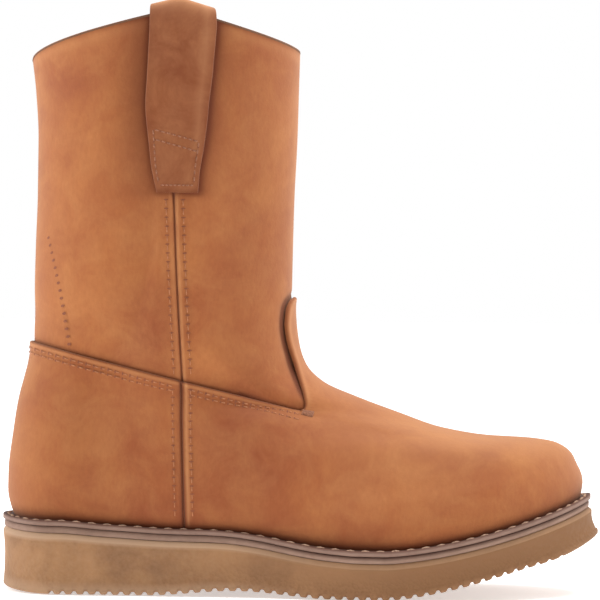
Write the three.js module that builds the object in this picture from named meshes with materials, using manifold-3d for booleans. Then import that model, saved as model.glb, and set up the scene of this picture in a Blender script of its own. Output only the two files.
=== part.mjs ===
// A pull-on wedge sole work boot for the right foot, in millimetres.
// +X points to the toe, +Y to the inner side of the foot, +Z up, and the tread stands on z = 0.
import * as THREE from 'three';
import { mergeVertices } from 'three/addons/utils/BufferGeometryUtils.js';
import Module from 'manifold-3d';

const wasm = await Module();
wasm.setup();

// Sole sizes
const soleLength = 305; // back of the heel to the toe tip
const ballWidth = 107.5;
const waistWidth = 75;
const heelWidth = 77.5;
const wedgeAtHeel = 30.4; // rubber thickness
const wedgeAtBall = 18;
const wedgeAtToe = 15.5;
const archRise = 2.7; // how far the tread clears the floor under the arch
const toeRise = 31; // height of the tread at the toe tip
const heelRise = 2; // height of the tread at the back edge
const edgeRound = 1.2; // height of the rounding where the tread meets the side
const edgeInset = 2.2; // and how far it goes in
const toeFlare = 4.7; // how far the rubber stands out ahead of the welt
const wallHollow = 1.1; // depth of the hollow in the rubber's side
const lipHeight = 2.8; // bevel round the top of the rubber
const lipInset = 1.5;
const treadPitch = 5.85;
const treadDepth = 2;
const treadMouth = 3.3; // width of a tread groove at the floor
const treadRoot = 1.5; // width of a tread groove at its root
const midsoleThickness = 3.1;
const midsoleInset = 0.9; // how far the midsole's edge lies behind the welt's
const weltThickness = 2.6;
const weltRound = 0.8; // rounding of the welt's upper edge
const insoleThickness = 4;

// Upper sizes: rises are heights above the heel's seat on the midsole
const ankleRise = 80.2; // back of the ankle, where the foot rings end
const throatRise = 69.7; // front of the ankle, where the foot rings end
const collarBackRise = 234.2; // topline at the back
const collarFrontRise = 239.9; // topline at the front
const collarCrest = 19.8; // how far the topline's sides rise above its ends
const crestAt = 0.54; // where round the side the topline is highest
const dipBack = 1.22; // how hollow the topline falls to its back end
const dipFront = 1.7; // and to its front end
const shaftDepth = 134; // back to front
const shaftWidth = 104;
const wall = 2.2; // shaft leather and lining
const overlay = 1.8; // vamp and counter leather
const seamBackRise = 94.7; // top edge of the counter, at the back of the heel
const seamThroatRise = 57.5; // edge of the vamp at the throat
const sideSeamLow = 94.8; // the side seam at the welt, from the back of the heel
const sideSeamHigh = 91.4; // the side seam at the counter's top edge
const seamGap = 0.5; // between vamp and counter along the side seam
const flapRise = 115.2; // top of the vamp's tongue, on the front of the shaft
const flapReach = 11.5; // how far the tongue wraps back round the shaft

// Pull strap sizes
const strapWidth = 32.5;
const strapThickness = 2.2;
const strapCentre = 90.8; // from the back of the heel
const strapSlip = 2.4; // how far its middle line strays from the centre
const strapTabRise = 165.7; // lower end of the stitched tab, above the heel's seat
const strapShoulder = 10; // how far below the topline's crest the fold starts
const strapLoop = 2.8; // inside height of the fold over the topline
const strapLift = 1.8; // how far the legs bow away from the shaft

const gap = 0.3; // clearance between pieces that touch

// Mesh fineness
const sideSteps = 20; // columns of the upper from back to front, on each side
const soleSteps = 34; // stations along the sole
const strapSteps = 4; // columns across a strap
const foldSteps = 6; // steps over the fold of a strap
const tiny = 1e-3;
const fineness = 0.02; // cuts leave no edge or sliver finer than this

// Places along the sole, as shares of its length
const heelLands = 0.085; // the tread reaches the floor behind the heel
const archStarts = 0.24;
const archEnds = 0.55;
const toeLifts = 0.63; // the tread leaves the floor ahead of the ball
const toeThins = 0.6; // the wedge starts to thin to its thickness at the toe
const treadStarts = 0.09;
const treadEnds = 0.9;
const flareStarts = 0.86;

// How round the ends of the outlines are: 2 is an ellipse, and more is blunter
const heelRoundness = 2.3;
const toeRoundness = 2.3;
const heelCupRoundness = 2.15;
const foldSquareness = 0.77; // of a strap's fold: 1 is round, and less is squarer

// Thickness of the rubber, as a share of the way from wedgeAtBall to wedgeAtHeel
const wedgeRows = table(['at', 'share'], [
  [0.00, 0.98],
  [0.10, 1.00],
  [0.17, 0.88],
  [0.25, 0.76],
  [0.34, 0.55],
  [0.42, 0.34],
  [0.50, 0.15],
  [0.58, 0.00],
]);

// Share of heelWidth, waistWidth and ballWidth in the sole's width, and the sideways bend of its
// middle line as a share of ballWidth
const outlineRows = table(['at', 'heel', 'waist', 'ball', 'bend'], [
  [0.00, 1, 0, 0, 0.000],
  [0.16, 1, 0, 0, -0.002],
  [0.37, 0, 1, 0, -0.032],
  [0.67, 0, 0, 1, -0.016],
  [0.85, 0, 0, 1, 0.024],
  [1.00, 0, 0, 1, 0.060],
]);
const heelRoundEnds = 0.122; // share of the outline's length where the round heel ends
const toeRoundStarts = 0.675; // and where the round toe starts

// The rubber's side, from the tread up: depth is the share of the toe's flare, up the share of the
// way from the tread to the bevel, and hollow the inset as a share of wallHollow
const wallRows = table(['depth', 'up', 'hollow'], [
  [0.8, 0.25, 0.80],
  [0.5, 0.60, 1.00],
  [0.2, 1.00, 0.18],
]);

const ringColumns = [
  'back', 'backUp', 'nose', 'noseUp', 'sag', 'heel', 'waist', 'ball', 'heelAt', 'ballAt', 'round', 'lean', 'crest',
];

// Rings of the foot, from the edge on the midsole up to the ankle. back and nose are the ring's ends,
// backUp and noseUp their heights, sag how much the ring follows the seat between them, heel, waist
// and ball its half widths, heelAt and ballAt where its round ends begin, round how blunt the front
// one is, lean how far the front end leans inwards, and crest the topline's share. Lengths are
// shares of soleLength, widths of half heelWidth, waistWidth and ballWidth, lean is a share of
// ballWidth, and heights are shares of the rise to ankle and throat.
const footRings = table(ringColumns, [
  [0.0311, 0.000, 0.951, 0.000, 1.00, 0.762, 0.773, 0.828, 0.138, 0.672, 2.3, 0.000, 0],
  [0.0210, 0.080, 0.960, 0.095, 1.00, 0.832, 0.856, 0.878, 0.138, 0.672, 2.3, 0.000, 0],
  [0.0144, 0.200, 0.961, 0.196, 0.95, 0.888, 0.940, 0.908, 0.138, 0.672, 2.3, 0.000, 0],
  [0.0151, 0.338, 0.951, 0.322, 0.88, 0.893, 0.965, 0.886, 0.138, 0.672, 2.3, 0.000, 0],
  [0.0169, 0.411, 0.942, 0.403, 0.83, 0.881, 0.970, 0.852, 0.138, 0.669, 2.3, 0.002, 0],
  [0.0193, 0.481, 0.923, 0.472, 0.75, 0.867, 0.973, 0.815, 0.138, 0.666, 2.3, 0.005, 0],
  [0.0223, 0.563, 0.879, 0.526, 0.60, 0.846, 0.976, 0.753, 0.138, 0.666, 2.2, 0.009, 0],
  [0.0249, 0.638, 0.813, 0.543, 0.45, 0.828, 0.981, 0.694, 0.138, 0.656, 2.2, 0.019, 0],
  [0.0282, 0.719, 0.734, 0.606, 0.28, 0.815, 0.987, 0.586, 0.138, 0.623, 2.1, 0.028, 0],
  [0.0328, 0.806, 0.656, 0.737, 0.12, 0.815, 0.992, 0.540, 0.144, 0.492, 1.7, 0.037, 0],
  [0.0393, 0.900, 0.584, 0.871, 0.04, 0.836, 1.013, 0.614, 0.154, 0.443, 1.6, 0.037, 0],
  [0.0452, 1.000, 0.530, 1.000, 0.00, 0.883, 1.051, 0.688, 0.171, 0.393, 1.7, 0.028, 0],
]);

// Rings of the shaft, from the ankle up to the topline. Lengths are shares of shaftDepth,
// widths of half shaftWidth, and heights of the rise from ankle and throat to the topline.
const shaftRings = table(ringColumns, [
  [0.1090, 0.058, 1.137, 0.056, 0.00, 0.702, 0.788, 0.779, 0.433, 0.806, 1.9, 0.019, 0.00],
  [0.1097, 0.136, 1.104, 0.132, 0.00, 0.760, 0.827, 0.827, 0.493, 0.724, 2.0, 0.009, 0.00],
  [0.1104, 0.240, 1.091, 0.244, 0.00, 0.827, 0.865, 0.865, 0.537, 0.672, 2.0, 0.000, 0.00],
  [0.1134, 0.390, 1.093, 0.397, 0.00, 0.885, 0.904, 0.904, 0.567, 0.642, 2.0, 0.000, 0.06],
  [0.1187, 0.552, 1.097, 0.561, 0.00, 0.933, 0.938, 0.938, 0.575, 0.634, 2.0, 0.000, 0.22],
  [0.1194, 0.734, 1.106, 0.737, 0.00, 0.965, 0.968, 0.968, 0.582, 0.627, 2.0, 0.000, 0.52],
  [0.1090, 0.890, 1.110, 0.890, 0.00, 0.988, 0.990, 0.990, 0.590, 0.619, 2.0, 0.000, 0.82],
  [0.0940, 1.000, 1.113, 1.000, 0.00, 1.008, 1.010, 1.010, 0.597, 0.612, 2.0, 0.000, 1.00],
]);

// Back edge of the vamp's tongue: up is a share of its height, and back how far the edge lies behind
// the boot's front at that height, as a share of flapReach
const flapRows = table(['up', 'back'], [
  [0.00, 3.27],
  [0.05, 2.50],
  [0.14, 1.50],
  [0.24, 0.82],
  [0.36, 0.46],
  [0.49, 0.40],
  [0.62, 0.43],
  [0.75, 0.43],
  [0.87, 0.34],
  [0.95, 0.20],
  [1.00, -0.04],
]);

// A pull strap's leg from the tab's end up to the fold: half width as a share of half strapWidth,
// slip as a share of strapSlip and lift as a share of strapLift
const strapRows = table(['at', 'half', 'slip', 'lift'], [
  [0.00, 0.67, 0.00, 0.00],
  [0.16, 0.78, -0.20, 0.00],
  [0.31, 0.87, -0.50, 0.10],
  [0.50, 0.92, -0.40, 0.60],
  [0.72, 0.96, -0.10, 1.00],
  [1.00, 1.00, 0.15, 0.80],
]);

// Rows of numbers as objects with named columns
function table(columns, rows) {
  return rows.map((row) => Object.fromEntries(columns.map((name, i) => [name, row[i]])));
}

// Smooth curve through the rows of a table, without overshoot between them
function curve(rows, key, at) {
  const last = rows.length - 1;
  if (at <= rows[0].at) return rows[0][key];
  if (at >= rows[last].at) return rows[last][key];
  const i = rows.findIndex((row) => row.at >= at) - 1;
  const slope = (k) => (rows[k + 1][key] - rows[k][key]) / (rows[k + 1].at - rows[k].at);
  const tangent = (k) => {
    if (k === 0) return slope(0);
    if (k === last) return slope(last - 1);
    const [a, b] = [slope(k - 1), slope(k)];
    return a * b > 0 ? (2 * a * b) / (a + b) : 0;
  };
  const span = rows[i + 1].at - rows[i].at;
  const t = (at - rows[i].at) / span;
  const [a, b] = [rows[i][key], rows[i + 1][key]];
  const ease = t * t * (3 - 2 * t);
  const into = t * (1 - t) * (1 - t) * tangent(i) * span;
  const out = t * t * (1 - t) * tangent(i + 1) * span;
  return a + (b - a) * ease + into - out;
}

const mix = THREE.MathUtils.lerp;
const step = THREE.MathUtils.smoothstep;

// Sole profile

// Height of the tread above the floor
function treadHeight(x) {
  const at = x / soleLength;
  if (at < heelLands) return heelRise * (1 - Math.max(at, 0) / heelLands) ** 2;
  if (at < archStarts) return 0;
  if (at < archEnds) return archRise * Math.sin((Math.PI * (at - archStarts)) / (archEnds - archStarts)) ** 2;
  if (at < toeLifts) return 0;
  return toeRise * ((at - toeLifts) / (1 - toeLifts)) ** 1.5;
}

const treadSlope = (x) => Math.atan2(treadHeight(x + 1) - treadHeight(x - 1), 2);

// Thickness of the rubber wedge
function wedge(x) {
  const at = x / soleLength;
  const behind = mix(wedgeAtBall, wedgeAtHeel, curve(wedgeRows, 'share', at));
  return mix(behind, wedgeAtToe, step(at, toeThins, 1));
}

const rubberTop = (x) => treadHeight(x) + wedge(x);
const midsoleBottom = (x) => rubberTop(x) + gap;
const midsoleTop = (x) => midsoleBottom(x) + midsoleThickness;
const seat = (x) => midsoleTop(x) + gap; // what the upper, the welt and the insole stand on
const heelSeat = seat(footRings[0].back * soleLength);

// Plan of the sole

const weltLength = soleLength - toeFlare;

// Share of the full width left by a round end
function cap(share, roundness) {
  return Math.sqrt(Math.max(1 - Math.abs(share) ** roundness, 0));
}

// Sideways bend of the foot's middle line
const bend = (x) => ballWidth * curve(outlineRows, 'bend', x / soleLength);

function outlineHalfWidth(x) {
  const at = x / weltLength;
  const full =
    (heelWidth * curve(outlineRows, 'heel', at) +
      waistWidth * curve(outlineRows, 'waist', at) +
      ballWidth * curve(outlineRows, 'ball', at)) / 2;
  const heelShare = Math.max((heelRoundEnds - at) / heelRoundEnds, 0);
  const toeShare = Math.max((at - toeRoundStarts) / (1 - toeRoundStarts), 0);
  return full * cap(heelShare, heelRoundness) * cap(toeShare, toeRoundness);
}

// Points round the sole, inset inside its outline, from the heel along the outer side to the toe and
// back along the inner side
function soleOutline(inset) {
  const at = (turn) => {
    const x = (weltLength * (1 - Math.cos(Math.PI * Math.min(turn, 2 - turn)))) / 2;
    const side = turn <= 1 ? -1 : 1;
    return new THREE.Vector2(x, bend(x) + side * outlineHalfWidth(x));
  };
  const points = [];
  for (let i = 0; i < 2 * soleSteps; i++) {
    const turn = i / soleSteps;
    const ahead = at((turn + tiny) % 2);
    const behind = at((turn - tiny + 2) % 2);
    const along = ahead.sub(behind).normalize();
    points.push(at(turn).add(new THREE.Vector2(-along.y, along.x).multiplyScalar(inset)));
  }
  return points;
}

// Meshes

function geometryOf(positions, faces) {
  const geometry = new THREE.BufferGeometry();
  geometry.setAttribute('position', new THREE.BufferAttribute(new Float32Array(positions.flat()), 3));
  geometry.setIndex(faces);
  return geometry;
}

// Quads between two closed rings of as many points. low and high are the first index of each.
function band(low, high, count) {
  const faces = [];
  for (let i = 0; i < count; i++) {
    const j = (i + 1) % count;
    faces.push(low + i, low + j, high + j, low + i, high + j, high + i);
  }
  return faces;
}

// Strip across a ring, from its outer side to its inner side. up turns it to face up.
function lid(first, count, up) {
  const faces = [];
  for (let i = 0; i < count / 2; i++) {
    const [a, b] = [first + i, first + i + 1];
    const [c, d] = [first + ((count - i - 1) % count), first + ((count - i) % count)];
    const around = [a, b, c, a, c, d];
    faces.push(...(up ? around : around.reverse()));
  }
  return faces.filter((_, k, all) => {
    const face = all.slice(k - (k % 3), k - (k % 3) + 3);
    return new Set(face).size === 3;
  });
}

// Closed solid through rings of as many points, the lowest first
function stack(rings) {
  const count = rings[0].length;
  const faces = [...lid(0, count, false), ...lid((rings.length - 1) * count, count, true)];
  for (let k = 1; k < rings.length; k++) faces.push(...band((k - 1) * count, k * count, count));
  return geometryOf(rings.flat(), faces);
}

// Closed tube with a hollow: rings run up the outside and back down the inside
function sleeve(outside, inside) {
  const rings = [...outside, ...inside.toReversed()];
  const count = rings[0].length;
  const faces = [];
  rings.forEach((_, k) => faces.push(...band(k * count, ((k + 1) % rings.length) * count, count)));
  return geometryOf(rings.flat(), faces);
}

function manifoldOf(geometry) {
  const merged = mergeVertices(geometry, tiny);
  return new wasm.Manifold(
    new wasm.Mesh({
      numProp: 3,
      vertProperties: merged.attributes.position.array,
      triVerts: new Uint32Array(merged.index.array),
    }),
  );
}

function geometryFrom(solid) {
  const mesh = solid.getMesh();
  const geometry = new THREE.BufferGeometry();
  geometry.setAttribute('position', new THREE.BufferAttribute(mesh.vertProperties, 3));
  geometry.setIndex(new THREE.BufferAttribute(mesh.triVerts, 1));
  return geometry;
}

// Prism of an outline in x and z, right through the boot from side to side
function acrossPrism(points, halfWidth) {
  const shape = new THREE.Shape(points.map(([x, z]) => new THREE.Vector2(x, z)));
  const prism = new THREE.ExtrudeGeometry(shape, { depth: 2 * halfWidth, bevelEnabled: false, curveSegments: 1 });
  prism.deleteAttribute('normal');
  prism.deleteAttribute('uv');
  prism.rotateX(Math.PI / 2).translate(0, halfWidth, 0);
  return manifoldOf(prism);
}

// Sole pieces

// Ring round the rubber, with a share of the toe's flare
function rubberRing(flareShare, inset, height) {
  return soleOutline(inset).map(({ x, y }) => {
    const flare = toeFlare * flareShare * step(x, flareStarts * soleLength, weltLength);
    return [x + flare, y, height(x)];
  });
}

// One groove across the tread, square to the tread's slope
function treadGroove(x) {
  const slope = treadSlope(x);
  const side = [
    [treadMouth / 2, -treadDepth],
    [treadMouth / 2, 0],
    [treadRoot / 2, treadDepth],
  ];
  const corners = [...side, ...side.toReversed().map(([u, w]) => [-u, w])];
  const turned = corners.map(([u, w]) => [
    x + u * Math.cos(slope) - w * Math.sin(slope),
    treadHeight(x) + u * Math.sin(slope) + w * Math.cos(slope),
  ]);
  return acrossPrism(turned, ballWidth);
}

function outsole() {
  const bevelFoot = (x) => rubberTop(x) - lipHeight;
  const body = stack([
    rubberRing(1, edgeInset, treadHeight),
    rubberRing(1, wallHollow * wallRows[0].hollow / 2, (x) => treadHeight(x) + edgeRound),
    ...wallRows.map(({ depth, up, hollow }) =>
      rubberRing(depth, wallHollow * hollow, (x) => mix(treadHeight(x), bevelFoot(x), up))),
    rubberRing(0, lipInset, rubberTop),
  ]);
  const grooves = [];
  let x = treadStarts * soleLength;
  while (x < treadEnds * soleLength) {
    grooves.push(treadGroove(x));
    x += treadPitch * Math.cos(treadSlope(x));
  }
  return geometryFrom(manifoldOf(body).subtract(wasm.Manifold.union(grooves)).simplify(fineness));
}

function midsole() {
  const ring = (inset, height) => soleOutline(inset).map(({ x, y }) => [x, y, height(x)]);
  return stack([ring(midsoleInset, midsoleBottom), ring(midsoleInset, midsoleTop)]);
}

// Upper form

const footScale = {
  length: soleLength,
  heel: heelWidth / 2,
  waist: waistWidth / 2,
  ball: ballWidth / 2,
  back: (share) => heelSeat + ankleRise * share,
  nose: (share) => mix(seat(footRings[0].nose * soleLength), heelSeat + throatRise, share),
};
const shaftScale = {
  length: shaftDepth,
  heel: shaftWidth / 2,
  waist: shaftWidth / 2,
  ball: shaftWidth / 2,
  back: (share) => heelSeat + mix(ankleRise, collarBackRise, share),
  nose: (share) => heelSeat + mix(throatRise, collarFrontRise, share),
};

function ringInMillimetres(row, scale) {
  return {
    ...row,
    back: row.back * scale.length,
    nose: row.nose * scale.length,
    heelAt: row.heelAt * scale.length,
    ballAt: row.ballAt * scale.length,
    heel: row.heel * scale.heel,
    waist: row.waist * scale.waist,
    ball: row.ball * scale.ball,
    lean: row.lean * ballWidth,
    backZ: scale.back(row.backUp),
    noseZ: scale.nose(row.noseUp),
  };
}

const rings = [
  ...footRings.map((row) => ringInMillimetres(row, footScale)),
  ...shaftRings.map((row) => ringInMillimetres(row, shaftScale)),
].map((ring, i) => ({ ...ring, at: i }));
const ringKeys = Object.keys(rings[0]);
const levels = rings.map((ring) => ring.at);
const topRing = rings.length - 1;
const ankleLevel = footRings.length - 1;
const waistShare = 0.45; // where between heelAt and ballAt a ring's waist lies
const bendFades = [ankleLevel - 5, ankleLevel + 2]; // levels over which the foot's bend fades out

// The ring at any level between the rows
function ringAt(level) {
  return Object.fromEntries(ringKeys.map((key) => [key, curve(rings, key, level)]));
}

// Point of the upper's surface: level counts rings from the bottom, and turn runs from the back (0)
// along the outer side to the front (1) and along the inner side back to the back (2)
function surfacePoint(ring, turn) {
  const away = Math.min(turn, 2 - turn); // share of the way from back to front
  const side = turn <= 1 ? -1 : 1;
  const x = mix(ring.back, ring.nose, (1 - Math.cos(Math.PI * away)) / 2);
  const waistAt = mix(ring.heelAt, ring.ballAt, waistShare);
  const widths = [
    { at: ring.heelAt, half: ring.heel },
    { at: waistAt, half: ring.waist },
    { at: ring.ballAt, half: ring.ball },
  ];
  const heelShare = Math.max((ring.heelAt - x) / (ring.heelAt - ring.back), 0);
  const noseShare = Math.max((x - ring.ballAt) / (ring.nose - ring.ballAt), 0);
  const half = curve(widths, 'half', x) * cap(heelShare, heelCupRoundness) * cap(noseShare, ring.round);
  const along = (x - ring.back) / (ring.nose - ring.back);
  const flat = mix(seat(ring.back), seat(ring.nose), along);
  const crest = away < crestAt ? (away / crestAt) ** dipBack : ((1 - away) / (1 - crestAt)) ** dipFront;
  const z =
    mix(ring.backZ, ring.noseZ, along) +
    ring.sag * (seat(x) - flat) +
    ring.crest * collarCrest * crest;
  const bendShare = 1 - step(ring.at, ...bendFades);
  const y = bend(x) * bendShare + ring.lean * along + side * half;
  return new THREE.Vector3(x, y, z);
}

// The same point moved out of the surface, or into it where out is negative
function skin(level, turn, out) {
  const ring = ringAt(level);
  const point = surfacePoint(ring, turn);
  if (out === 0) return point;
  const [levelStep, turnStep] = [0.02, 0.004];
  const above = surfacePoint(ringAt(Math.min(level + levelStep, topRing)), turn);
  const below = surfacePoint(ringAt(Math.max(level - levelStep, 0)), turn);
  const ahead = surfacePoint(ring, (turn + turnStep) % 2);
  const behind = surfacePoint(ring, (turn - turnStep + 2) % 2);
  const normal = ahead.sub(behind).cross(above.sub(below)).normalize();
  return point.addScaledVector(normal, out);
}

// A ring of points of the upper's form, at one level
function skinRing(level, out) {
  const points = [];
  for (let i = 0; i < 2 * sideSteps; i++) points.push(skin(level, i / sideSteps, out).toArray());
  return points;
}

function upper() {
  return sleeve(
    levels.map((level) => skinRing(level, 0)),
    levels.map((level) => skinRing(level, -wall)),
  );
}

// Overlays, welt and insole

const flapTop = heelSeat + flapRise;
const overlayLevel = rings.findIndex((ring) => Math.min(ring.backZ, ring.noseZ) > flapTop + overlay);

// Solid inside the upper's form grown by out, from well below the seat to a ring of the form
function grownForm(out, topLevel) {
  const skins = levels.slice(0, topLevel + 1).map((level) => skinRing(level, out));
  const root = skins[0].map(([x, y, z]) => [x, y, z - wedgeAtHeel]);
  return manifoldOf(stack([root, ...skins]));
}

// Rings of the sole's outline standing on the seat
const seatRing = (inset, height) => soleOutline(inset).map(({ x, y }) => [x, y, seat(x) + height]);

function welt() {
  const slab = stack([
    seatRing(0, 0),
    seatRing(0, weltThickness - weltRound),
    seatRing(weltRound, weltThickness),
  ]);
  const hole = grownForm(gap + overlay + gap, ankleLevel);
  return geometryFrom(manifoldOf(slab).subtract(hole).simplify(fineness));
}

function insole() {
  const slab = manifoldOf(stack([seatRing(0, 0), seatRing(0, insoleThickness)]));
  return geometryFrom(slab.intersect(grownForm(-wall - gap, ankleLevel)).simplify(fineness));
}

// The boot's front, seen from the side: at is the height
const frontRows = rings.map((ring) => ({ at: ring.noseZ, x: ring.nose }));

// Back edge of the vamp's tongue, seen from the side, from the throat up
const tongueEdge = flapRows.map(({ up, back }) => {
  const z = heelSeat + mix(seamThroatRise, flapRise, up);
  return [curve(frontRows, 'x', z) - back * flapReach, z];
});

// Height of the seam where counter and vamp end, seen from the side
const seamHeight = (x) => heelSeat + mix(seamBackRise, seamThroatRise, x / tongueEdge[0][0]);

// Everything under the seat
function underSeat() {
  const [back, front] = [-overlay, soleLength + overlay];
  const line = [];
  for (let i = 0; i <= soleSteps; i++) {
    const x = mix(back, front, i / soleSteps);
    line.push([x, seat(x)]);
  }
  return acrossPrism([[front, -wedgeAtHeel], [back, -wedgeAtHeel], ...line], ballWidth);
}

// Leather laid over the upper, inside an outline seen from the side
function overlayPiece(outline) {
  const layer = grownForm(gap + overlay, overlayLevel).subtract(grownForm(gap, overlayLevel));
  const piece = layer.intersect(acrossPrism(outline, ballWidth)).subtract(underSeat());
  return geometryFrom(piece.simplify(fineness));
}

function vamp() {
  return overlayPiece([
    [sideSeamLow + seamGap / 2, 0],
    [sideSeamHigh + seamGap / 2, seamHeight(sideSeamHigh)],
    ...tongueEdge,
    [soleLength, flapTop],
    [soleLength, 0],
  ]);
}

function counter() {
  return overlayPiece([
    [-overlay, 0],
    [-overlay, seamHeight(-overlay)],
    [sideSeamHigh - seamGap / 2, seamHeight(sideSeamHigh)],
    [sideSeamLow - seamGap / 2, 0],
  ]);
}

// Pull straps

// Turn of the point of a ring at a given x
function turnAt(ring, x, side) {
  const away = Math.acos(1 - (2 * (x - ring.back)) / (ring.nose - ring.back)) / Math.PI;
  return side < 0 ? away : 2 - away;
}

// Level and turn of the point of the shaft's side at a given x and z, found step by step
function shaftPlace(x, z, side) {
  const heightAt = (level) => {
    const ring = ringAt(level);
    return surfacePoint(ring, turnAt(ring, x, side)).z;
  };
  const [nudge, tries] = [0.01, 8];
  let level = (ankleLevel + topRing) / 2;
  for (let i = 0; i < tries; i++) {
    level = THREE.MathUtils.clamp(level, ankleLevel, topRing - nudge);
    const height = heightAt(level);
    level += (nudge * (z - height)) / (heightAt(level + nudge) - height);
  }
  return { level, turn: turnAt(ringAt(level), x, side) };
}

const toplineHeight = (x, side) => surfacePoint(rings[topRing], turnAt(rings[topRing], x, side)).z;
const crestHeight = surfacePoint(rings[topRing], crestAt).z;

// Closed solid between two grids of points, near and far, with as many rows and columns
function thickSheet(near, far) {
  const [columns, rows] = [near.length, near[0].length];
  const sheet = columns * rows;
  const index = (i, k) => i * rows + k;
  const faces = [];
  const quad = (a, b, c, d) => faces.push(a, b, c, a, c, d);
  for (let i = 0; i < columns - 1; i++) {
    for (let k = 0; k < rows - 1; k++) {
      const corners = [index(i, k), index(i + 1, k), index(i + 1, k + 1), index(i, k + 1)];
      quad(...corners);
      quad(...corners.map((corner) => corner + sheet).reverse());
    }
    quad(index(i + 1, 0), index(i, 0), index(i, 0) + sheet, index(i + 1, 0) + sheet);
    const [a, b] = [index(i, rows - 1), index(i + 1, rows - 1)];
    quad(a, b, b + sheet, a + sheet);
  }
  for (let k = 0; k < rows - 1; k++) {
    quad(index(0, k), index(0, k + 1), index(0, k + 1) + sheet, index(0, k) + sheet);
    const [a, b] = [index(columns - 1, k), index(columns - 1, k + 1)];
    quad(b, a, a + sheet, b + sheet);
  }
  return geometryOf([...near.flat(), ...far.flat()], faces);
}

// Strap folded over the topline on one side, with a leg outside the shaft and one inside
function pullStrap(side) {
  const shoulder = crestHeight - strapShoulder;
  const place = (row, across) => {
    const x = strapCentre + strapSlip * row.slip + (across * strapWidth * row.half) / 2;
    return shaftPlace(x, mix(heelSeat + strapTabRise, shoulder, row.at), side);
  };
  const leg = (across, depth, inside) =>
    strapRows.map((row) => {
      const { level, turn } = place(row, across);
      const off = gap + strapLift * row.lift + depth;
      return skin(level, turn, inside ? -wall - off : off);
    });
  // Line over the fold, depth being the distance from the strap's face on the shaft
  const line = (across, depth) => {
    const [outside, inside] = [leg(across, depth, false), leg(across, depth, true)];
    const [from, to] = [outside.at(-1), inside.at(-1)];
    const middle = from.clone().add(to).multiplyScalar(0.5);
    const reach = from.clone().sub(middle);
    const rise = toplineHeight(middle.x, side) + strapLoop + depth - middle.z;
    const fold = [];
    for (let k = 1; k < foldSteps; k++) {
      const angle = (Math.PI * k) / foldSteps;
      const over = Math.sign(Math.cos(angle)) * Math.abs(Math.cos(angle)) ** foldSquareness;
      const point = middle.clone().addScaledVector(reach, over);
      point.z += rise * Math.sin(angle) ** foldSquareness;
      fold.push(point);
    }
    return [...outside, ...fold, ...inside.reverse()].map((point) => point.toArray());
  };
  const columns = [];
  for (let i = 0; i <= strapSteps; i++) columns.push(side * mix(-1, 1, i / strapSteps));
  return thickSheet(
    columns.map((across) => line(across, 0)),
    columns.map((across) => line(across, strapThickness)),
  );
}

// The boot

const leather = { color: 0xb06c40, roughness: 0.92, metalness: 0 };
const strapLeather = { color: 0x9b5a37, roughness: 0.92, metalness: 0 };
const weltLeather = { color: 0x917061, roughness: 0.8, metalness: 0 };
const midsoleRubber = { color: 0x6e5346, roughness: 0.8, metalness: 0 };
const wedgeRubber = { color: 0x9e714f, roughness: 0.7, metalness: 0 };
const bedding = { color: 0xb79a78, roughness: 0.95, metalness: 0 };

const pieces = [
  ['outsole', outsole(), wedgeRubber],
  ['midsole', midsole(), midsoleRubber],
  ['welt', welt(), weltLeather],
  ['insole', insole(), bedding],
  ['upper', upper(), leather],
  ['vamp', vamp(), leather],
  ['counter', counter(), leather],
  ['pull_strap_outer', pullStrap(-1), strapLeather],
  ['pull_strap_inner', pullStrap(1), strapLeather],
];

const boot = new THREE.Group();
for (const [name, geometry, finish] of pieces) {
  const mesh = new THREE.Mesh(geometry, new THREE.MeshStandardMaterial(finish));
  mesh.name = name;
  boot.add(mesh);
}

// The origin lies on the floor, at the middle of the boot's box
const extent = new THREE.Box3().setFromObject(boot);
const centre = extent.getCenter(new THREE.Vector3());
boot.position.set(-centre.x, -centre.y, -extent.min.z);

export default boot;
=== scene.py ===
"""Looks of a pull-on wedge sole work boot for the right foot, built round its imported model.

Forms are worked out in millimetres in the boot's own frame: x from the back of the welt to the toe,
y to the inner side of the foot, z up from the floor. mesh_piece() turns them into metres in the
row frame.
"""
import math

import bpy
import numpy as np
from mathutils import Matrix, Vector


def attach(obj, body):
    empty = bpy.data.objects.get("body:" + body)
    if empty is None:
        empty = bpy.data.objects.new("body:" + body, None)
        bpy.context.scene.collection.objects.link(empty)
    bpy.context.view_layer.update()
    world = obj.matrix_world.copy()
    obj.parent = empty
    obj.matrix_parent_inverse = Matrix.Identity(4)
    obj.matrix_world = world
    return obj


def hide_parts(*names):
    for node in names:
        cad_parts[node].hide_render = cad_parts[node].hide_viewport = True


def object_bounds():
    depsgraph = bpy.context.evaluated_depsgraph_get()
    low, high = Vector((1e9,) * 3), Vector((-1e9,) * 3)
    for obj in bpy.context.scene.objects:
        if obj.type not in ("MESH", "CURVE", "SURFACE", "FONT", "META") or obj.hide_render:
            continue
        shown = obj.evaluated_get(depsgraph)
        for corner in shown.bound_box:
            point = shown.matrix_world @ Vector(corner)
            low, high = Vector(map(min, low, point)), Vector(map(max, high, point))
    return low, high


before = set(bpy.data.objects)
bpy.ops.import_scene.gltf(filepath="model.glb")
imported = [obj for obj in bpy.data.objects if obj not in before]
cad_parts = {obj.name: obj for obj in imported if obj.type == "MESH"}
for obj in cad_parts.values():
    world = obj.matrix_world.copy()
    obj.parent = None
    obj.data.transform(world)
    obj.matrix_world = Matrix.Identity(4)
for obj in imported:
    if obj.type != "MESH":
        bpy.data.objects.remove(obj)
cad_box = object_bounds()

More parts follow.
